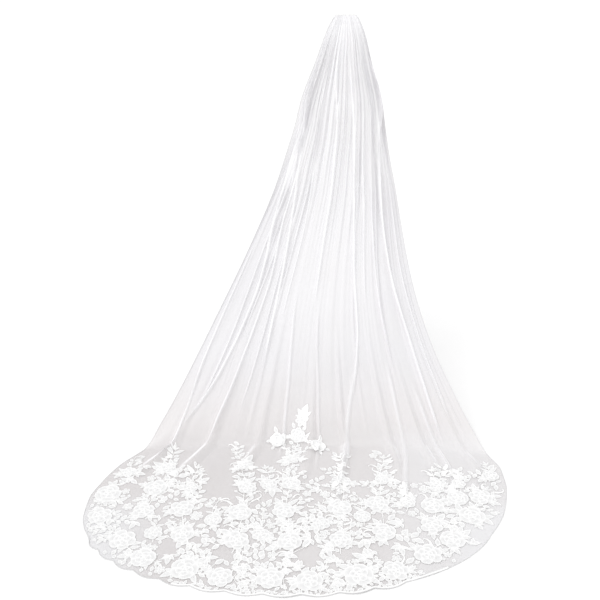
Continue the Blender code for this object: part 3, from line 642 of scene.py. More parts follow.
def rose(rng, outer_petals):
    """A full rose: three whorls of petals, each petal and whorl lapped over the next."""
    bm = new_motif_mesh()
    for whorl in (Whorl(outer_petals, 0.24, 1.00, 0.0, 1.20), *INNER_WHORLS):
        start = rng.uniform(0.0, 6.28)
        half_turn = math.pi / whorl.petals
        base = max(ROSE_RADIUS * whorl.inner * math.tan(half_turn) - 0.0008, 0.0035)
        reach = ROSE_RADIUS * (whorl.inner + 0.46 * (whorl.outer - whorl.inner))
        for k in range(whorl.petals):
            first = len(bm.verts)
            length = ROSE_RADIUS * (whorl.outer * rng.uniform(0.90, 1.03) - whorl.inner)
            half_wide = max(reach * math.tan(half_turn) * whorl.lap, 0.26 * length)
            angle = start + 2.0 * math.pi * (k + rng.uniform(-0.06, 0.06)) / whorl.petals
            shape = petal(ROSE_RADIUS * whorl.inner, length, half_wide, base)
            plate(bm, turned(shape, angle), tall=PETAL_TALL)
            lift_since(bm, first, whorl.lift + own_lift(k))
    return finish_motif(bm, [(0.0, 0.0, ROSE_RADIUS)])


def leaf(length, half_wide):
    bm = new_motif_mesh()
    ribbed_leaf(bm, length, half_wide, 0.0)
    return finish_motif(bm, [(length * share, 0.0, half_wide) for share in (0.3, 0.55, 0.8)])


def palm_leaf(lobes):
    """Pointed leaves fanned out of one base, each given as (degrees, length)."""
    bm = new_motif_mesh()
    discs = []
    for k, (degrees, length) in enumerate(lobes):
        angle = math.radians(degrees)
        ribbed_leaf(bm, length, length * 0.24, angle, lift=own_lift(k + 1))
        discs.append((*off(0.0, 0.0, 0.60 * length, angle), 0.28 * length))
    return finish_motif(bm, discs)


def small_leaf(length, half_wide):
    """A pointed leaf without a rib."""
    bm = new_motif_mesh()
    plate(bm, leaf_outline(length, half_wide), cord=LEAF_CORD_WIDE)
    return finish_motif(bm, [(length * share, 0.0, half_wide * 0.9) for share in (0.25, 0.5, 0.78)])


def branch(rng, length, curl, leaves):
    """A curved twig with broad leaves on both sides and one at its end."""
    bm = new_motif_mesh()
    steps = CURVE_STEPS
    headings = [curl * (k / steps - 0.5) for k in range(steps + 1)]
    path = walk(length, headings)
    path_strip(bm, path, tapering(STEM_WIDE, 0.4, steps))
    discs = [(*path[k], 0.006) for k in (1, 4, 7, 10)]
    for number in range(leaves + 1):
        at = min(steps, round(steps * (number + 0.7) / (leaves + 0.4)))
        side = 0 if number == leaves else (1 if number % 2 else -1)
        angle = headings[at] + side * rng.uniform(0.80, 1.15)
        long = rng.uniform(0.027, 0.036)
        half_wide = long * rng.uniform(0.27, 0.33)
        ribbed_leaf(bm, long, half_wide, angle, *path[at], lift=own_lift(number + 1))
        for share in (0.40, 0.75):
            discs.append((*off(*path[at], long * share, angle), half_wide * 0.9))
    return finish_motif(bm, discs)


def blossom(radius, petals, rng):
    """A small open flower with a round eye."""
    bm = new_motif_mesh()
    centre = radius + 0.004
    for k in range(petals):
        angle = 2.0 * math.pi * k / petals + rng.uniform(-0.06, 0.06)
        half_wide = radius * 0.66 * math.sin(math.pi / petals) * 0.96
        shape = petal(radius * 0.20, radius * rng.uniform(0.74, 0.80), half_wide, radius * 0.07)
        plate(bm, turned(shape, angle, centre, 0.0), cord=LEAF_CORD_WIDE)
    eye = [off(0.0, 0.0, radius * 0.27, math.pi * k / 4) for k in range(8)]
    plate(bm, turned(eye, 0.0, centre, 0.0), tall=LACE_TALL + 1.5 * LAP, cord=LEAF_CORD_WIDE)
    return finish_motif(bm, [(centre, 0.0, radius)])


def path_strip(bm, path, widths, tall=LACE_TALL):
    """A raised strip along a path, made of one quad for each step."""
    first = len(bm.verts)
    pairs = []
    for k, (x, y) in enumerate(path):
        before = path[max(k - 1, 0)]
        after = path[min(k + 1, len(path) - 1)]
        run = math.hypot(after[0] - before[0], after[1] - before[1])
        nx, ny = -(after[1] - before[1]) / run, (after[0] - before[0]) / run
        half = widths[k] / 2
        pairs.append((bm.verts.new((x + nx * half, y + ny * half, 0.0)),
                      bm.verts.new((x - nx * half, y - ny * half, 0.0))))
    faces = [bm.faces.new((a[1], b[1], b[0], a[0])) for a, b in zip(pairs, pairs[1:])]
    grown = bmesh.ops.extrude_face_region(bm, geom=faces)["geom"]
    bmesh.ops.translate(bm, verts=[v for v in grown if isinstance(v, bmesh.types.BMVert)],
                        vec=(0.0, 0.0, tall))
    bmesh.ops.delete(bm, geom=faces, context="FACES_ONLY")
    close = bm.verts.layers.float["close"]
    bm.verts.ensure_lookup_table()
    for vert in bm.verts[first:]:
        vert[close] = 1.0


def hook(length, curl):
    """A tapered tendril that curls over at its end."""
    bm = new_motif_mesh()
    steps = CURVE_STEPS
    headings = []
    heading = 0.0
    for k in range(steps + 1):
        heading += curl * (k / steps) ** 1.5 / steps * 2.2
        headings.append(heading)
    path = walk(length, headings)
    path_strip(bm, path, [wide + HOOK_TIP_WIDE for wide in tapering(HOOK_WIDE, 0.75, steps)])
    discs = [(*path[k], 0.005) for k in (3, 6, 9, 12)]
    return finish_motif(bm, discs)


def bud(length):
    bm = new_motif_mesh()
    shape = [(0.0, 0.0), (0.22 * length, 0.30 * length), (0.62 * length, 0.34 * length),
             (length, 0.0), (0.62 * length, -0.34 * length), (0.22 * length, -0.30 * length)]
    plate(bm, shape, cord=LEAF_CORD_WIDE)
    return finish_motif(bm, [(0.5 * length, 0.0, 0.34 * length)])


# ------------------------ where lace may lie
class Tulle:
    """The draped tulle seen from above, for laying lace on it."""

    FROM = -1.10             # lace is laid below this height, and edges count for it below the next
    EDGES_FROM = -1.15
    STEEPEST = 0.35          # least share of its true height that lace keeps on a slope
    NEARLY_FLAT = 0.05
    SHORTEST = 0.45

    def __init__(self, bm, points):
        self.tree = BVHTree.FromBMesh(bm)
        low = points[:, 0, 2] < self.EDGES_FROM
        left = points[low, 0, :2]
        right = points[low, -1, :2]
        self.edge = np.concatenate([left, points[-1, 1:-1, :2], right[::-1]])

    def height(self, x, y):
        hit, normal, _, _ = self.tree.ray_cast(Vector((x, y, self.FROM)), Vector((0.0, 0.0, -1.0)))
        if hit is None:
            return None
        return hit.z, 1.0 / max(self.STEEPEST, abs(normal.z))

    def low_enough(self, x, y):
        found = self.height(x, y)
        return found is not None and found[0] < LACE_TOP

    def foreshorten(self, x, y, reach=0.03):
        """Plan scale, along the fall of the cloth, that keeps a motif its true size on a slope."""
        sides = [self.height(x + a, y + b) for a, b in ((reach, 0), (-reach, 0), (0, reach), (0, -reach))]
        if None in sides:
            return Matrix.Identity(4)
        fall = Vector(((sides[0][0] - sides[1][0]), (sides[2][0] - sides[3][0]), 0.0)) / (2 * reach)
        if fall.length < self.NEARLY_FLAT:
            return Matrix.Identity(4)
        share = max(self.SHORTEST, 1.0 / math.sqrt(1.0 + fall.length_squared))
        return Matrix.Scale(share, 4, fall.normalized())

    def inside(self, x, y, margin):
        """True where a disc of that radius lies on the tulle, clear of its edges."""
        a = self.edge
        b = np.roll(a, -1, axis=0)
        crossing = (a[:, 1] > y) != (b[:, 1] > y)
        with np.errstate(divide="ignore", invalid="ignore"):
            at = a[:, 0] + (b[:, 0] - a[:, 0]) * (y - a[:, 1]) / (b[:, 1] - a[:, 1])
        if np.count_nonzero(crossing & (x < at)) % 2 == 0:
            return False
        d = b - a
        t = ((x - a[:, 0]) * d[:, 0] + (y - a[:, 1]) * d[:, 1]) / np.maximum((d * d).sum(1), 1e-12)
        t = np.clip(t, 0, 1)
        near = np.hypot(x - a[:, 0] - t * d[:, 0], y - a[:, 1] - t * d[:, 1])[:-1]
        return near.min() > margin


class Laid:
    """Discs that stand for what is already laid: plain windows, roses and other motifs."""

    WINDOW, ROSE, OTHER = 0, 1, 2

    def __init__(self):
        self.discs = np.zeros((0, 3))
        self.kinds = np.zeros(0)

    def add(self, discs, kind=OTHER):
        self.discs = np.vstack([self.discs, np.array(discs)])
        self.kinds = np.append(self.kinds, [kind] * len(discs))

    def lift(self, extra=0):
        """A small lift of its own for the next piece."""
        return own_lift(len(self.discs) + extra)

    def free(self, discs, overlap, kinds=(WINDOW, ROSE, OTHER)):
        """Whether the discs lie on no other by more than that."""
        for kind in kinds:
            chosen = self.discs[self.kinds == kind]
            slack = min(overlap, 0.002) if kind == self.WINDOW else overlap
            for x, y, radius in discs:
                away = np.hypot(chosen[:, 0] - x, chosen[:, 1] - y)
                if np.any(away < chosen[:, 2] + radius - slack):
                    return False
        return True


def placed(discs, x, y, angle, scale):
    cos, sin = math.cos(angle) * scale, math.sin(angle) * scale
    return [(x + a * cos - b * sin, y + a * sin + b * cos, r * scale) for a, b, r in discs]


def stamp(bm, motif, tulle, x, y, angle, scale=1.0, lift=0.0):
    """Adds the motif at its plan place, foreshortened where the tulle under it slopes."""
    first = len(bm.verts)
    bm.from_mesh(motif.mesh)
    bm.verts.ensure_lookup_table()
    place = (Matrix.Translation((x, y, lift)) @ tulle.foreshorten(x, y) @ Matrix.Rotation(angle, 4, "Z")
             @ Matrix.Diagonal((scale, scale, 1.0, 1.0)))
    bmesh.ops.transform(bm, matrix=place, verts=bm.verts[first:])


def stem_point(spray, share):
    """A point on the spray's bent stem, the stem's direction there, and its length."""
    dx, dy = spray.tip_x - spray.root_x, spray.tip_y - spray.root_y
    run = math.hypot(dx, dy)
    nx, ny = -dy / run, dx / run
    bow = 4.0 * spray.bend * share * (1.0 - share)
    slope = 4.0 * spray.bend * (1.0 - 2.0 * share)
    x = spray.root_x + dx * share + nx * bow
    y = spray.root_y + dy * share + ny * bow
    return x, y, math.atan2(dy + ny * slope, dx + nx * slope), run


def spray_parts(spray, order):
    """The spray's roses as (x, y, radius, turn) and its leaves as (kind, x, y, angle, length)."""
    roses = []
    for number, (share, radius, aside) in enumerate(FLOWERS[spray.flowers]):
        x, y, heading, run = stem_point(spray, share)
        roses.append((*beside(x, y, heading, aside), radius, heading + 0.5 * order + number))
    leaves = []
    for x, y, radius, turn in roses:
        for petal_number in (0, 2):
            angle = turn + 2.0 * math.pi * (petal_number + 0.5) / 5
            leaves.append(("palm", *off(x, y, radius * 0.94, angle), angle + 0.15, LEAF_LONG * 0.80))
    pairs = round(run / LEAF_PAIR_SPACING)
    for k in range(pairs):
        x, y, heading, _ = stem_point(spray, (k + 0.6) / pairs)
        side = 1 if (k + order) % 2 else -1
        length = LEAF_LONG * (1.0 + 0.25 * math.sin(1.7 * k + order))
        leaves.append(("leaf", x, y, heading + side * 0.85, length))
        leaves.append(("leaf", x, y, heading - side * 1.05, length * 0.8))
    x, y, heading, _ = stem_point(spray, 0.97)
    for turn, share in TIP_LEAVES:
        leaves.append(("leaf", x, y, heading + turn, LEAF_LONG * share))
    return roses, leaves


def solid_under(node):
    """Test of whether a packed lace solid has material at a place in plan."""
    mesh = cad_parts[node].data
    tree = BVHTree.FromPolygons([v.co for v in mesh.vertices], [p.vertices for p in mesh.polygons])

    def covers(x, y):
        return tree.ray_cast(Vector((x, y, ABOVE_LACE)), Vector((0.0, 0.0, -1.0)))[0] is not None

    return covers


# ------------------------ lace sprays
def make_motifs():
    rng = random.Random(11)
    return {
        "rose": [rose(rng, 5), rose(rng, 6), rose(rng, 5), rose(rng, 6)],
        "leaf": [leaf(LEAF_LONG, LEAF_HALF_WIDE)],
        "palm": [palm_leaf(((-100, 0.024), (-48, 0.036), (0, 0.052), (50, 0.035), (104, 0.025))),
                 palm_leaf(((-74, 0.032), (-20, 0.048), (36, 0.042), (92, 0.025))),
                 palm_leaf(((-60, 0.030), (0, 0.043), (62, 0.032))),
                 palm_leaf(((-88, 0.026), (-30, 0.040), (28, 0.046), (80, 0.030)))],
        "branch": [branch(rng, 0.074, 1.3, 4), branch(rng, 0.060, -1.5, 3), branch(rng, 0.090, 0.9, 5),
                   branch(rng, 0.066, -0.7, 4)],
        "blossom": [blossom(0.0220, 5, rng), blossom(0.0180, 5, rng), blossom(0.0250, 6, rng)],
        "hook": [hook(0.050, 2.6), hook(0.042, -2.8)],
        "bud": [bud(0.022), bud(0.017)],
        "sprig": [small_leaf(0.036, 0.0098), small_leaf(0.028, 0.0086), small_leaf(0.043, 0.0108)],
    }


def lay_main(spray, order, motifs, laid, tulle):
    """Stem, roses and large leaves of one spray."""
    bm = new_motif_mesh()
    covers = solid_under("lace_" + spray.name)
    roses, leaves = spray_parts(spray, order)
    run = stem_point(spray, 0.0)[3]
    steps = max(8, round(run / STEM_STEP))
    path = []
    for k in range(steps + 1):
        x, y, heading, _ = stem_point(spray, k / steps)
        path.append(beside(x, y, heading, STEM_SWAY * math.sin(STEM_WAVE * run * k / steps + order)))
    path_strip(bm, path, tapering(STEM_WIDE, 0.45, steps))
    for number, (x, y, radius, turn) in enumerate(roses):
        motif = motifs["rose"][(order + number) % 4]
        stamp(bm, motif, tulle, x, y, turn, radius / ROSE_FITS, lift=ROSE_LIFT + laid.lift())
        laid.add([(x, y, radius)], Laid.ROSE)
    for number, (kind, x, y, angle, length) in enumerate(leaves):
        if covers(*off(x, y, 0.6 * length, angle)):
            motif = motifs[kind][(order + number) % len(motifs[kind])]
            scale = length / LEAF_LONG
            stamp(bm, motif, tulle, x, y, angle, scale, lift=laid.lift())
            laid.add(placed(motif.discs, x, y, angle, scale))
    return bm


def lay_crown(bm, motifs, laid, tulle, rng):
    """The small roses round the tallest spray's tip, with their twigs and leaves, and what tops them."""
    spray = next(spray for spray in SPRAYS if spray.name == CROWNED)
    for number, rose_at in enumerate(CROWN):
        x, y, heading, _ = stem_point(spray, rose_at.share)
        twig(bm, (x, y), rose_at[:2], wide=STEM_WIDE, steps=16)
        stamp(bm, motifs["rose"][number], tulle, rose_at.x, rose_at.y, heading + number,
              rose_at.radius / ROSE_FITS, lift=ROSE_LIFT + CROWN_LIFT + laid.lift())
        laid.add([(rose_at.x, rose_at.y, rose_at.radius)], Laid.ROSE)
        outward = math.atan2(rose_at.y - y, rose_at.x - x)
        for k, (along, aside) in enumerate(CROWN_TWIG_LEAVES):
            place = (x + (rose_at.x - x) * along, y + (rose_at.y - y) * along)
            stamp(bm, motifs["sprig"][k % 2], tulle, *place, outward + aside, CROWN_LEAF_SCALE,
                  lift=laid.lift(5 + k))
        for aside in CROWN_ROUND_LEAVES:
            angle = outward + aside + rng.uniform(-0.2, 0.2)
            place = off(rose_at.x, rose_at.y, rose_at.radius * 0.85, angle)
            stamp(bm, rng.choice(motifs["sprig"]), tulle, *place, angle + rng.uniform(-0.4, 0.4),
                  CROWN_LEAF_SCALE, lift=laid.lift(number))
    flower_at, fan_at = CROWN_TIP
    upward = math.atan2(fan_at[1] - flower_at[1], fan_at[0] - flower_at[0])
    twig(bm, CROWN[1][:2], fan_at, wide=STEM_WIDE, steps=8)
    stamp(bm, motifs["palm"][0], tulle, *fan_at, upward, CROWN_TIP_SCALE, lift=CROWN_LIFT)
    stamp(bm, motifs["blossom"][2], tulle, *flower_at, upward, CROWN_TIP_SCALE, lift=CROWN_LIFT + LAP)


def collar(bm, x, y, radius, turn, motifs, laid, tulle, rng):
    """Leaves and twigs that come out from under a rose, more on some of its sides than on others."""
    bare = rng.randrange(COLLAR_LEAVES)
    for k in range(COLLAR_LEAVES):
        angle = turn + 2.0 * math.pi * (k + rng.uniform(-0.25, 0.25)) / COLLAR_LEAVES
        motif = rng.choice(motifs["palm"] + motifs["branch"] * 2 + motifs["blossom"][:1])
        base = off(x, y, radius * rng.uniform(0.60, 0.85), angle)
        if k in (bare, (bare + 3) % COLLAR_LEAVES):
            continue
        heading = angle + rng.uniform(-0.5, 0.5)
        scale = rng.uniform(0.85, 1.20)
        discs = placed(motif.discs, *base, heading, scale)
        others = [disc for disc in discs if math.hypot(disc[0] - x, disc[1] - y) > radius]
        if not others or not laid.free(others, COLLAR_OVER_ROSE, (Laid.WINDOW, Laid.ROSE)):
            continue
        if not laid.free(others, COLLAR_OVER_OTHER, (Laid.OTHER,)):
            continue
        if all(tulle.inside(a, b, r + HEM_MARGIN) for a, b, r in discs):
            stamp(bm, motif, tulle, *base, heading, scale, lift=laid.lift())
            laid.add(others)


def in_band(x, y):
    return y < np.interp(x, *zip(*BAND_TOP))


def dress_stem(bm, spray, motifs, laid, tulle, rng):
    """Short leaves that hug the stem on both sides and hide it."""
    run = stem_point(spray, 0.0)[3]
    count = max(3, round(run / STEM_LEAF_STEP))
    for k in range(count):
        x, y, heading, _ = stem_point(spray, (k + 0.5) / count)
        for side in (1, -1):
            motif = rng.choice(motifs["sprig"])
            angle = heading + side * rng.uniform(0.35, 0.95)
            try_motif(bm, motif, x, y, angle, rng.uniform(0.75, 1.1), laid, tulle, MOTIF_LAP)


def twig(bm, start, end, wide=TWIG_WIDE, steps=4):
    path = [(start[0] + (end[0] - start[0]) * k / steps, start[1] + (end[1] - start[1]) * k / steps)
            for k in range(steps + 1)]
    path_strip(bm, path, [wide] * (steps + 1), tall=LACE_TALL * 0.8)


def try_motif(bm, motif, x, y, angle, scale, laid, tulle, overlap, margin=HEM_MARGIN):
    """Lays the motif if it lies over what is laid by no more than the overlap, and clear of the hem."""
    discs = placed(motif.discs, x, y, angle, scale)
    if not laid.free(discs, overlap):
        return False
    if not all(tulle.inside(a, b, r + margin) and tulle.low_enough(a, b) for a, b, r in discs):
        return False
    stamp(bm, motif, tulle, x, y, angle, scale, lift=laid.lift())
    laid.add(discs)
    return True


TwigPlan = namedtuple("TwigPlan", "kinds reaches")
IN_BAND = TwigPlan(("blossom", "palm", "branch", "palm", "branch", "sprig", "hook", "bud"),
                   (0.010, 0.024, 0.040, 0.056))
ABOVE_BAND = TwigPlan(("blossom", "palm", "palm", "sprig", "hook", "sprig", "bud"), (0.008, 0.014, 0.020))


def grow_twigs(bm, spray, motifs, laid, tulle, rng):
    """Small motifs on short twigs along both sides of the stem."""
    run = stem_point(spray, 0.0)[3]
    stations = max(3, round(run / TWIG_STEP))
    for k in range(stations):
        x, y, heading, _ = stem_point(spray, (k + 0.5) / stations)
        plan = IN_BAND if in_band(x, y) else ABOVE_BAND
        for side in (1, -1):
            kinds = list(plan.kinds)
            rng.shuffle(kinds)
            for kind in kinds:
                reach = rng.choice(plan.reaches)
                angle = heading + side * rng.uniform(0.45, 1.35)
                motif = rng.choice(motifs[kind])
                base = off(x, y, reach, angle)
                scale = rng.uniform(0.85, 1.15)
                turn = angle + rng.uniform(-0.3, 0.3)
                if try_motif(bm, motif, *base, turn, scale, laid, tulle, MOTIF_LAP):
                    twig(bm, (x, y), base)
                    break


Pass = namedtuple("Pass", "tries kinds smallest largest overlap")
FILL_X = (-0.97, 0.59)
FILL_Y = (-1.60, -0.72)
FILL_PASSES = (
    Pass(3000, ("branch", "palm", "branch"), 0.95, 1.25, 0.0120),
    Pass(4500, ("branch", "palm", "blossom"), 0.80, 1.10, 0.0095),
    Pass(5000, ("sprig", "palm", "blossom", "sprig"), 0.70, 1.00, 0.0070),
)


def scatter(pieces, motifs, laid, tulle, rng):
    """Motifs between the sprays, large ones first, each given to the spray whose stem is nearest."""
    stems = []
    for spray in SPRAYS:
        for k in range(9):
            x, y, _, _ = stem_point(spray, k / 8)
            stems.append((x, y, spray.name))
    places = np.array([(x, y) for x, y, _ in stems])
    for fill in FILL_PASSES:
        for _ in range(fill.tries):
            x = rng.uniform(*FILL_X)
            y = rng.uniform(*FILL_Y)
            away = np.hypot(places[:, 0] - x, places[:, 1] - y)
            nearest = int(away.argmin())
            if away[nearest] > (FILL_REACH if in_band(x, y) else FILL_REACH_ABOVE):
                continue
            kind = rng.choice(fill.kinds)
            if kind == "branch" and not in_band(x, y):
                kind = "sprig"
            motif = rng.choice(motifs[kind])
            overlap = fill.overlap + np.interp(y, *zip(*CROWDING))
            try_motif(pieces[stems[nearest][2]], motif, x, y, rng.uniform(0.0, 6.28),
                      rng.uniform(fill.smallest, fill.largest), laid, tulle, overlap)


def trimmed(x, y):
    """Whether the hem carries its close trim at that place."""
    return y < TRIM_STARTS and TRIM_FROM < x < TRIM_TO


def edge_trim(pieces, motifs, laid, tulle, points, rng):
    """Small motifs that follow the hem: a close fringe in its middle, and single buds elsewhere."""
    hem = points[-1, :, :2]
    steps = np.hypot(*np.diff(hem, axis=0).T)
    run = np.concatenate([[0.0], np.cumsum(steps)])
    count = int(run[-1] / TRIM_STEP)
    ends = [((s.root_x + s.tip_x) / 2, (s.root_y + s.tip_y) / 2, s.name)
            for s in SPRAYS if s.flowers == "border"]
    braid = []
    for k in range(count):
        at = run[-1] * (k + 0.5) / count
        x, y = np.interp(at, run, hem[:, 0]), np.interp(at, run, hem[:, 1])
        inward = np.array(TRAIN_MIDDLE) - (x, y)
        inward /= np.linalg.norm(inward)
        name = min(ends, key=lambda end: math.hypot(end[0] - x, end[1] - y))[2]
        heading = math.atan2(inward[1], inward[0])
        if trimmed(x, y):
            braid.append((*((x, y) + inward * BRAID_INSET), name))
            for deep, kinds, scale in TRIM_ROWS:
                motif = rng.choice(motifs[rng.choice(kinds)])
                angle = heading + rng.choice((-1, 1)) * rng.uniform(0.2, 1.3)
                try_motif(pieces[name], motif, *((x, y) + inward * deep), angle,
                          scale * rng.uniform(0.85, 1.15), laid, tulle, TRIM_LAP, TRIM_MARGIN)
        elif k % 2 == 0:
            angle = heading + (BUD_TURN if k % 4 else -BUD_TURN)
            try_motif(pieces[name], motifs["bud"][0], *((x, y) + inward * BUD_INSET), angle, BUD_SCALE,
                      laid, tulle, BUD_LAP)
    for name in dict.fromkeys(name for _, _, name in braid):
        own = [k for k, place in enumerate(braid) if place[2] == name]
        path = [place[:2] for place in braid[max(own[0] - 1, 0):own[-1] + 1]]
        path_strip(pieces[name], path, [BRAID_WIDE] * len(path))


def lay_down(bm, tulle):
    """Moves flat lace onto the tulle, its heights kept."""
    for vert in bm.verts:
        found = tulle.height(vert.co.x, vert.co.y)
        ground, steep = found if found else (TULLE_ON_FLOOR, 1.0)
        vert.co.z = ground + (LACE_GAP + vert.co.z) * steep


def make_lace(motifs, tulle, points):
    laid = Laid()
    laid.add(WINDOWS, Laid.WINDOW)
    rng = random.Random(5)
    pieces = {spray.name: lay_main(spray, order, motifs, laid, tulle)
              for order, spray in enumerate(SPRAYS)}
    lay_crown(pieces[CROWNED], motifs, laid, tulle, rng)
    for order, spray in enumerate(SPRAYS):
        for x, y, radius, turn in spray_parts(spray, order)[0]:
            collar(pieces[spray.name], x, y, radius, turn, motifs, laid, tulle, rng)
    for spray in SPRAYS:
        dress_stem(pieces[spray.name], spray, motifs, laid, tulle, rng)
        grow_twigs(pieces[spray.name], spray, motifs, laid, tulle, rng)
    edge_trim(pieces, motifs, laid, tulle, points, rng)
    scatter(pieces, motifs, laid, tulle, rng)
    for bm in pieces.values():
        lay_down(bm, tulle)
    return pieces


# ------------------------ hem cord and comb stitches
def cord_curve(name, runs, radius, thickness, closed=False):
    curve = bpy.data.curves.new(name, "CURVE")
    curve.dimensions = "3D"
    curve.bevel_depth = radius
    curve.bevel_resolution = 1
    curve.use_fill_caps = True
    for run, share in zip(runs, thickness):
        spline = curve.splines.new("POLY")
        spline.points.add(len(run) - 1)
        for point, place in zip(spline.points, run):
            point.co = (*place, 1.0)
            point.radius = share
        spline.use_cyclic_u = closed
    piece = bpy.data.objects.new(name, curve)
    bpy.context.scene.collection.objects.link(piece)
    return piece


def edge_cord(points, turn):
    """Fine cord whipped over the cut edge: up both sides, and thicker along the scalloped hem.  Its grey
    is painted shadow.
    """
    across = gather_place(turn)
    scalloped = points[-1][across <= SCALLOPS_END + 0.02][::2]
    plain = points[-1][across > SCALLOPS_END + 0.01][::3]
    close = [k for k, (x, y, _) in enumerate(scalloped) if trimmed(x, y)]
    first, last = close[0], close[-1]
    runs = [scalloped[:first + 1], scalloped[first:last + 1], scalloped[last:], plain,
            points[1:, 0], points[1:, -1]]
    lifted = [[(x, y, z + EDGE_CORD_LIFT) for x, y, z in run] for run in runs]
    cord = cord_curve("edge_cord", lifted, EDGE_CORD_RADIUS, (1.0, 1.15, 1.0, 0.7, 0.7, 0.7))
    cord.data.splines[1].material_index = 1
    return cord


def comb_stitches():
    """Thread loops that bind the gathered edge and its tape to the spine."""
    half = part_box("gathering_tape")[1].x - SPINE_ENDS
    loops = []
    for k in range(STITCHES):
        x = -half + 2.0 * half * k / (STITCHES - 1)
        arc = SPINE_BOW * (x / half) ** 2 - SPINE_BOW
        loop = []
        for step in range(STITCH_POINTS):
            angle = 2.0 * math.pi * step / STITCH_POINTS
            y = SPINE_BACK + STITCH_DEEP * math.cos(angle) + arc
            loop.append((x + STITCH_SLANT * math.cos(angle), y, STITCH_TALL * math.sin(angle)))
        loops.append(loop)
    return cord_curve("comb_stitches", loops, STITCH_RADIUS, [1.0] * STITCHES, closed=True)


# ------------------------ shader pieces
def set_inputs(tree, node, **inputs):
    """Links each named input to a socket, or sets it to a value.  A _ stands for a blank in its name."""
    for label, value in inputs.items():
        socket = node.inputs[label.replace("_", " ")]
        if isinstance(value, bpy.types.NodeSocket):
            tree.links.new(value, socket)
        elif socket.type == "RGBA":
            socket.default_value = (*value, 1.0)
        else:
            socket.default_value = value


def add_node(tree, kind, settings=(), **inputs):
    """A node of that kind, with its settings as (name, value) and its inputs."""
    node = tree.nodes.new(kind)
    for label, value in settings:
        setattr(node, label, value)
    set_inputs(tree, node, **inputs)
    return node


def math_node(tree, operation, *values):
    node = add_node(tree, "ShaderNodeMath", [("operation", operation)])
    for socket, value in zip(node.inputs, values):
        if isinstance(value, bpy.types.NodeSocket):
            tree.links.new(value, socket)
        else:
            socket.default_value = value
    return node.outputs[0]


def new_group(name, sockets_in, sockets_out):
    """A group that takes a vector and the given numbers, and gives out numbers."""
    group = bpy.data.node_groups.new(name, "ShaderNodeTree")
    group.interface.new_socket("Vector", in_out="INPUT", socket_type="NodeSocketVector")
    for label, value in sockets_in:
        socket = group.interface.new_socket(label, in_out="INPUT", socket_type="NodeSocketFloat")
        socket.default_value = value
    for label in sockets_out:
        group.interface.new_socket(label, in_out="OUTPUT", socket_type="NodeSocketFloat")
    return group, group.nodes.new("NodeGroupInput").outputs, group.nodes.new("NodeGroupOutput")


def thread_group():
    """Fine threads in two directions, as a height and as a slight tone."""
    group, given, result = new_group("fine_threads", [("Scale", 900.0)], ["Height", "Tone"])
    noise = add_node(group, "ShaderNodeTexNoise", Detail=2.0, Vector=given["Vector"], Scale=given["Scale"])
    wave = add_node(group, "ShaderNodeTexWave", Distortion=2.0, Detail=1.0, Vector=given["Vector"],
                    Scale=math_node(group, "MULTIPLY", given["Scale"], 0.35))
    height = math_node(group, "ADD", math_node(group, "MULTIPLY", noise.outputs["Fac"], 0.5),
                       math_node(group, "MULTIPLY", wave.outputs["Fac"], 0.5))
    set_inputs(group, result, Height=height, Tone=noise.outputs["Fac"])
    return group


NET_CELLS = 620.0            # cells of the net in a metre


def net_group():
    """Diamond net: 1 on the threads and 0 in the holes."""
    group, given, result = new_group("tulle_net", [("Cells", NET_CELLS)], ["Thread"])
    turn = add_node(group, "ShaderNodeMapping", Rotation=(0.0, 0.0, math.radians(45.0)),
                    Vector=given["Vector"])
    cell = add_node(group, "ShaderNodeTexVoronoi",
                    [("voronoi_dimensions", "2D"), ("feature", "DISTANCE_TO_EDGE")],
                    Randomness=0.22, Vector=turn.outputs["Vector"], Scale=given["Cells"])
    fade = add_node(group, "ShaderNodeMapRange", [("interpolation_type", "SMOOTHSTEP")], From_Min=0.06,
                    From_Max=0.24, To_Min=1.0, To_Max=0.0, Value=cell.outputs["Distance"])
    set_inputs(group, result, Thread=fade.outputs["Result"])
    return group


THREADS = thread_group()
NET = net_group()


def start_material(name, colour, roughness, **inputs):
    material = bpy.data.materials.new(name)
    material.use_nodes = True
    tree = material.node_tree
    shader = tree.nodes["Principled BSDF"]
    set_inputs(tree, shader, Base_Color=colour, Roughness=roughness, **inputs)
    return material, tree, shader


def place_group(tree, group, vector, **values):
    node = add_node(tree, "ShaderNodeGroup", [("node_tree", group)])
    set_inputs(tree, node, Vector=vector, **values)
    return node.outputs


def attribute(tree, name):
    return add_node(tree, "ShaderNodeAttribute", [("attribute_name", name)]).outputs["Fac"]


def tint(tree, factor, dark, light):
    """A colour between the two, each given as a value or a socket."""
    mix = add_node(tree, "ShaderNodeMix", [("data_type", "RGBA")], Factor=factor, A=dark, B=light)
    return mix.outputs["Result"]


# Colours of the tulle: a grey cloudy body tone (darkest, lightest), painted shade of the white net,
# and the painted light that whitens it where it turns edge on, in its creases, where its gathers pack
# and at the train's corners.
HANGING_TONES = ((0.700, 0.685, 0.696), (0.729, 0.722, 0.750))
TRAIN_TONES = ((0.715, 0.683, 0.681), (0.745, 0.720, 0.726))
OUTER_PAINTED_LIGHT = (0.84, 0.835, 0.85)
PACKED_PAINTED_WHITE = (0.88, 0.875, 0.89)
CREASE_PAINTED_HIGHLIGHT = (0.93, 0.925, 0.94)
PAINTED_SHEEN_TONE = (0.97, 0.965, 0.98)
COVER = 0.26                 # how much the net hides between its threads, and more on them
THREAD_COVER = 0.30
EDGE_ON = 0.12               # least cosine at which edge-on tulle still closes up


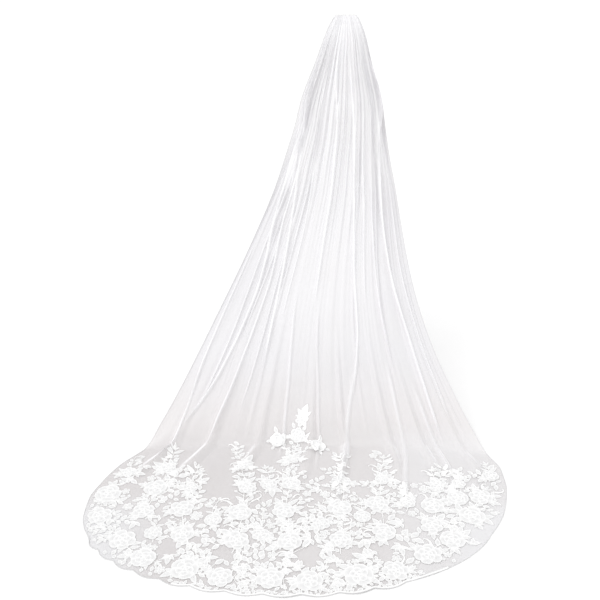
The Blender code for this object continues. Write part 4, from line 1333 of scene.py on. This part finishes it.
def tulle_material():
    """Sheer net: open face on, closing up where the cloth turns edge on, where a painted sheen whitens its
    colour.
    """
    material, tree, shader = start_material("sheer tulle", (0.75, 0.74, 0.75), 0.60, Sheen_Weight=0.25,
                                            Sheen_Roughness=0.5, Specular_IOR_Level=0.25)
    uv = add_node(tree, "ShaderNodeUVMap", [("uv_map", "cloth")]).outputs["UV"]
    net = place_group(tree, NET, uv, Cells=NET_CELLS)
    cloud = add_node(tree, "ShaderNodeTexNoise", Scale=5.0, Detail=3.0, Vector=uv).outputs["Fac"]
    facing = add_node(tree, "ShaderNodeLayerWeight", Blend=0.5).outputs["Facing"]
    # Painted sheen: the colour whitens towards near white as the cloth turns edge on to the view.
    painted_sheen = add_node(tree, "ShaderNodeMapRange", [("interpolation_type", "SMOOTHSTEP")],
                     From_Min=0.44, From_Max=0.84, Value=facing)
    # The grey body tone is painted shade of the white net; the mixes below paint light over it.
    body = tint(tree, cloud, *HANGING_TONES)
    body = tint(tree, attribute(tree, "train"), body, tint(tree, cloud, *TRAIN_TONES))
    # Painted light: the train's outer corners and right side are whitened.
    body = tint(tree, attribute(tree, "outer"), body, OUTER_PAINTED_LIGHT)
    # Painted light: where gathered layers pack, the colour whitens.
    body = tint(tree, attribute(tree, "packed"), body, PACKED_PAINTED_WHITE)
    # Painted highlight: the colour whitens along the creases, by their height.
    body = tint(tree, attribute(tree, "crease"), body, CREASE_PAINTED_HIGHLIGHT)
    # The side layer takes part of that painted sheen away at hip height, painting the sides darker.
    kept = math_node(tree, "SUBTRACT", 1.0, attribute(tree, "side"))
    painted_sheen_kept = math_node(tree, "MULTIPLY", painted_sheen.outputs["Result"], kept)
    cover = math_node(tree, "ADD", COVER, math_node(tree, "MULTIPLY", net["Thread"], THREAD_COVER))
    cosine = math_node(tree, "MAXIMUM", math_node(tree, "SUBTRACT", 1.0, facing), EDGE_ON)
    open_share = math_node(tree, "POWER", math_node(tree, "SUBTRACT", 1.0, cover),
                           math_node(tree, "DIVIDE", attribute(tree, "layers"), cosine))
    set_inputs(tree, shader, Base_Color=tint(tree, painted_sheen_kept, body, PAINTED_SHEEN_TONE),
               Alpha=math_node(tree, "SUBTRACT", 1.0, open_share))
    return material


Weave = namedtuple("Weave", "fineness dark light raised depth")


def threaded_material(name, colour, roughness, weave, **inputs):
    """A material with fine threads in its colour and its surface."""
    material, tree, shader = start_material(name, colour, roughness, **inputs)
    where = add_node(tree, "ShaderNodeTexCoord").outputs["Object"]
    threads = place_group(tree, THREADS, where, Scale=weave.fineness)
    bump = add_node(tree, "ShaderNodeBump", Strength=weave.raised, Distance=weave.depth,
                    Height=threads["Height"])
    set_inputs(tree, shader, Base_Color=tint(tree, threads["Tone"], weave.dark, weave.light),
               Normal=bump.outputs["Normal"])
    return material, tree, shader, threads


def lace_cord_material():
    weave = Weave(1400.0, (0.95, 0.95, 0.945), (1.0, 1.0, 0.995), 0.35, 0.0004)
    return threaded_material("lace cord", (0.98, 0.98, 0.975), 0.70, weave, Sheen_Weight=0.15,
                             Specular_IOR_Level=0.2)[0]


def lace_fill_material():
    """Close woven fill inside the cords, opening towards the middle of each petal and leaf, its tone
    painted darker as shade.
    """
    # The weave's darker tones, below the cords' white, are painted shade of the fill sunk between the
    # cords.
    weave = Weave(900.0, (0.88, 0.88, 0.885), (0.97, 0.97, 0.97), 0.5, 0.0004)
    material, tree, shader, threads = threaded_material("lace fill", (0.93, 0.93, 0.93), 0.80, weave,
                                                        Specular_IOR_Level=0.15)
    cover = math_node(tree, "ADD", 0.62, math_node(tree, "MULTIPLY", attribute(tree, "close"), 0.28))
    cover = math_node(tree, "ADD", cover, math_node(tree, "MULTIPLY", threads["Height"], 0.20))
    set_inputs(tree, shader, Alpha=math_node(tree, "MINIMUM", cover, 1.0))
    return material


def hem_shadow_line_material():
    # Grey thread: a painted shadow line along the tulle's edge, not the thread's own colour.
    weave = Weave(1800.0, (0.60, 0.595, 0.60), (0.74, 0.735, 0.74), 0.4, 0.0003)
    return threaded_material("hem thread painted shadow line", (0.66, 0.655, 0.66), 0.45, weave, Sheen_Weight=0.2)[0]


def tape_material():
    weave = Weave(2200.0, (0.82, 0.82, 0.81), (0.90, 0.90, 0.89), 0.25, 0.0002)
    return threaded_material("satin tape", (0.94, 0.94, 0.93), 0.38, weave, Sheen_Weight=0.2)[0]


def comb_material():
    material, tree, shader = start_material("clear comb", (0.80, 0.80, 0.79), 0.14,
                                            Transmission_Weight=0.45, IOR=1.49)
    where = add_node(tree, "ShaderNodeTexCoord").outputs["Object"]
    noise = add_node(tree, "ShaderNodeTexNoise", Scale=260.0, Vector=where).outputs["Fac"]
    set_inputs(tree, shader, Base_Color=tint(tree, noise, (0.76, 0.76, 0.75), (0.84, 0.84, 0.83)))
    return material


# ------------------------ put together
def add_object(name, bm, materials):
    mesh = bpy.data.meshes.new(name)
    bm.to_mesh(mesh)
    bm.free()
    for material in materials:
        mesh.materials.append(material)
    piece = bpy.data.objects.new(name, mesh)
    bpy.context.scene.collection.objects.link(piece)
    return piece


def dress_node(name, material):
    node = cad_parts[name]
    node.data.materials.clear()
    node.data.materials.append(material)


def build_veil():
    cord_white = lace_cord_material()
    fill_white = lace_fill_material()
    points, turn, down, creases = drape()
    cloth = make_tulle(points, turn, down, creases)
    tulle = Tulle(cloth, points)
    motifs = make_motifs()
    lace = make_lace(motifs, tulle, points)
    for name, bm in lace.items():
        piece = add_object("spray_" + name, bm, [cord_white, fill_white])
        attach(piece, "root")
        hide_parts("lace_" + name)
    for kind in motifs.values():
        for motif in kind:
            bpy.data.meshes.remove(motif.mesh)

    veil = add_object("veil_tulle", cloth, [tulle_material()])
    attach(veil, "root")
    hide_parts("tulle_panel")

    edge = edge_cord(points, turn)
    edge.data.materials.append(hem_shadow_line_material())
    edge.data.materials.append(cord_white)
    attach(edge, "root")
    stitches = comb_stitches()
    stitches.data.materials.append(cord_white)
    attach(stitches, "root")
    dress_node("gathering_tape", tape_material())
    dress_node("hair_comb", comb_material())


# ------------------------ floor, light and camera
CAMERA_ABOVE_FLOOR = 1.80
CAMERA_BEHIND = 3.40
CAMERA_ASIDE = -0.198
CAMERA_DOWN_DEG = 23.44
LENS_MM = 44.34
SENSOR_MM = 36.0
SIGHT = 400.0
FLOOR_COLOUR = (0.985, 0.985, 0.985)
FLOOR_REACH = 150.0
FLOOR_GAP = 0.0002
SKY = 0.92                   # light from all round
SKY_SEEN = 1.02              # what the camera sees of it is white
SUN = 0.90                   # a broad, soft light from behind the camera's left shoulder
SUN_SPREAD_DEG = 50.0
SUN_TILT_DEG, SUN_TURN_DEG = 50.0, -42.0


def build_floor():
    material = start_material("pale floor", FLOOR_COLOUR, 0.9, Specular_IOR_Level=0.0)[0]
    bm = bmesh.new()
    bmesh.ops.create_grid(bm, x_segments=1, y_segments=1, size=FLOOR_REACH)
    bmesh.ops.translate(bm, verts=bm.verts, vec=(0.0, 0.0, FLOOR - FLOOR_GAP))
    floor = add_object("floor", bm, [material])


def build_light():
    world = bpy.data.worlds.new("studio")
    world.use_nodes = True
    tree = world.node_tree
    seen = add_node(tree, "ShaderNodeLightPath").outputs["Is Camera Ray"]
    strength = math_node(tree, "ADD", SKY, math_node(tree, "MULTIPLY", SKY_SEEN - SKY, seen))
    set_inputs(tree, tree.nodes["Background"], Color=(1.0, 1.0, 1.0), Strength=strength)
    bpy.context.scene.world = world
    lamp = bpy.data.lights.new("window", "SUN")
    lamp.energy = SUN
    lamp.angle = math.radians(SUN_SPREAD_DEG)
    sun = bpy.data.objects.new("window", lamp)
    sun.rotation_euler = (math.radians(SUN_TILT_DEG), 0.0, math.radians(SUN_TURN_DEG))
    bpy.context.scene.collection.objects.link(sun)


def build_camera():
    camera = bpy.data.cameras.new("camera")
    camera.lens = LENS_MM
    camera.sensor_width = SENSOR_MM
    camera.clip_end = SIGHT
    eye = bpy.data.objects.new("camera", camera)
    eye.location = (CAMERA_ASIDE, -CAMERA_BEHIND, CAMERA_ABOVE_FLOOR - COMB_ABOVE_FLOOR)
    eye.rotation_euler = (math.radians(90.0 - CAMERA_DOWN_DEG), 0.0, 0.0)
    bpy.context.scene.collection.objects.link(eye)
    bpy.context.scene.camera = eye
    bpy.context.scene.view_settings.view_transform = "Standard"


build_camera()
build_veil()
build_floor()
build_light()
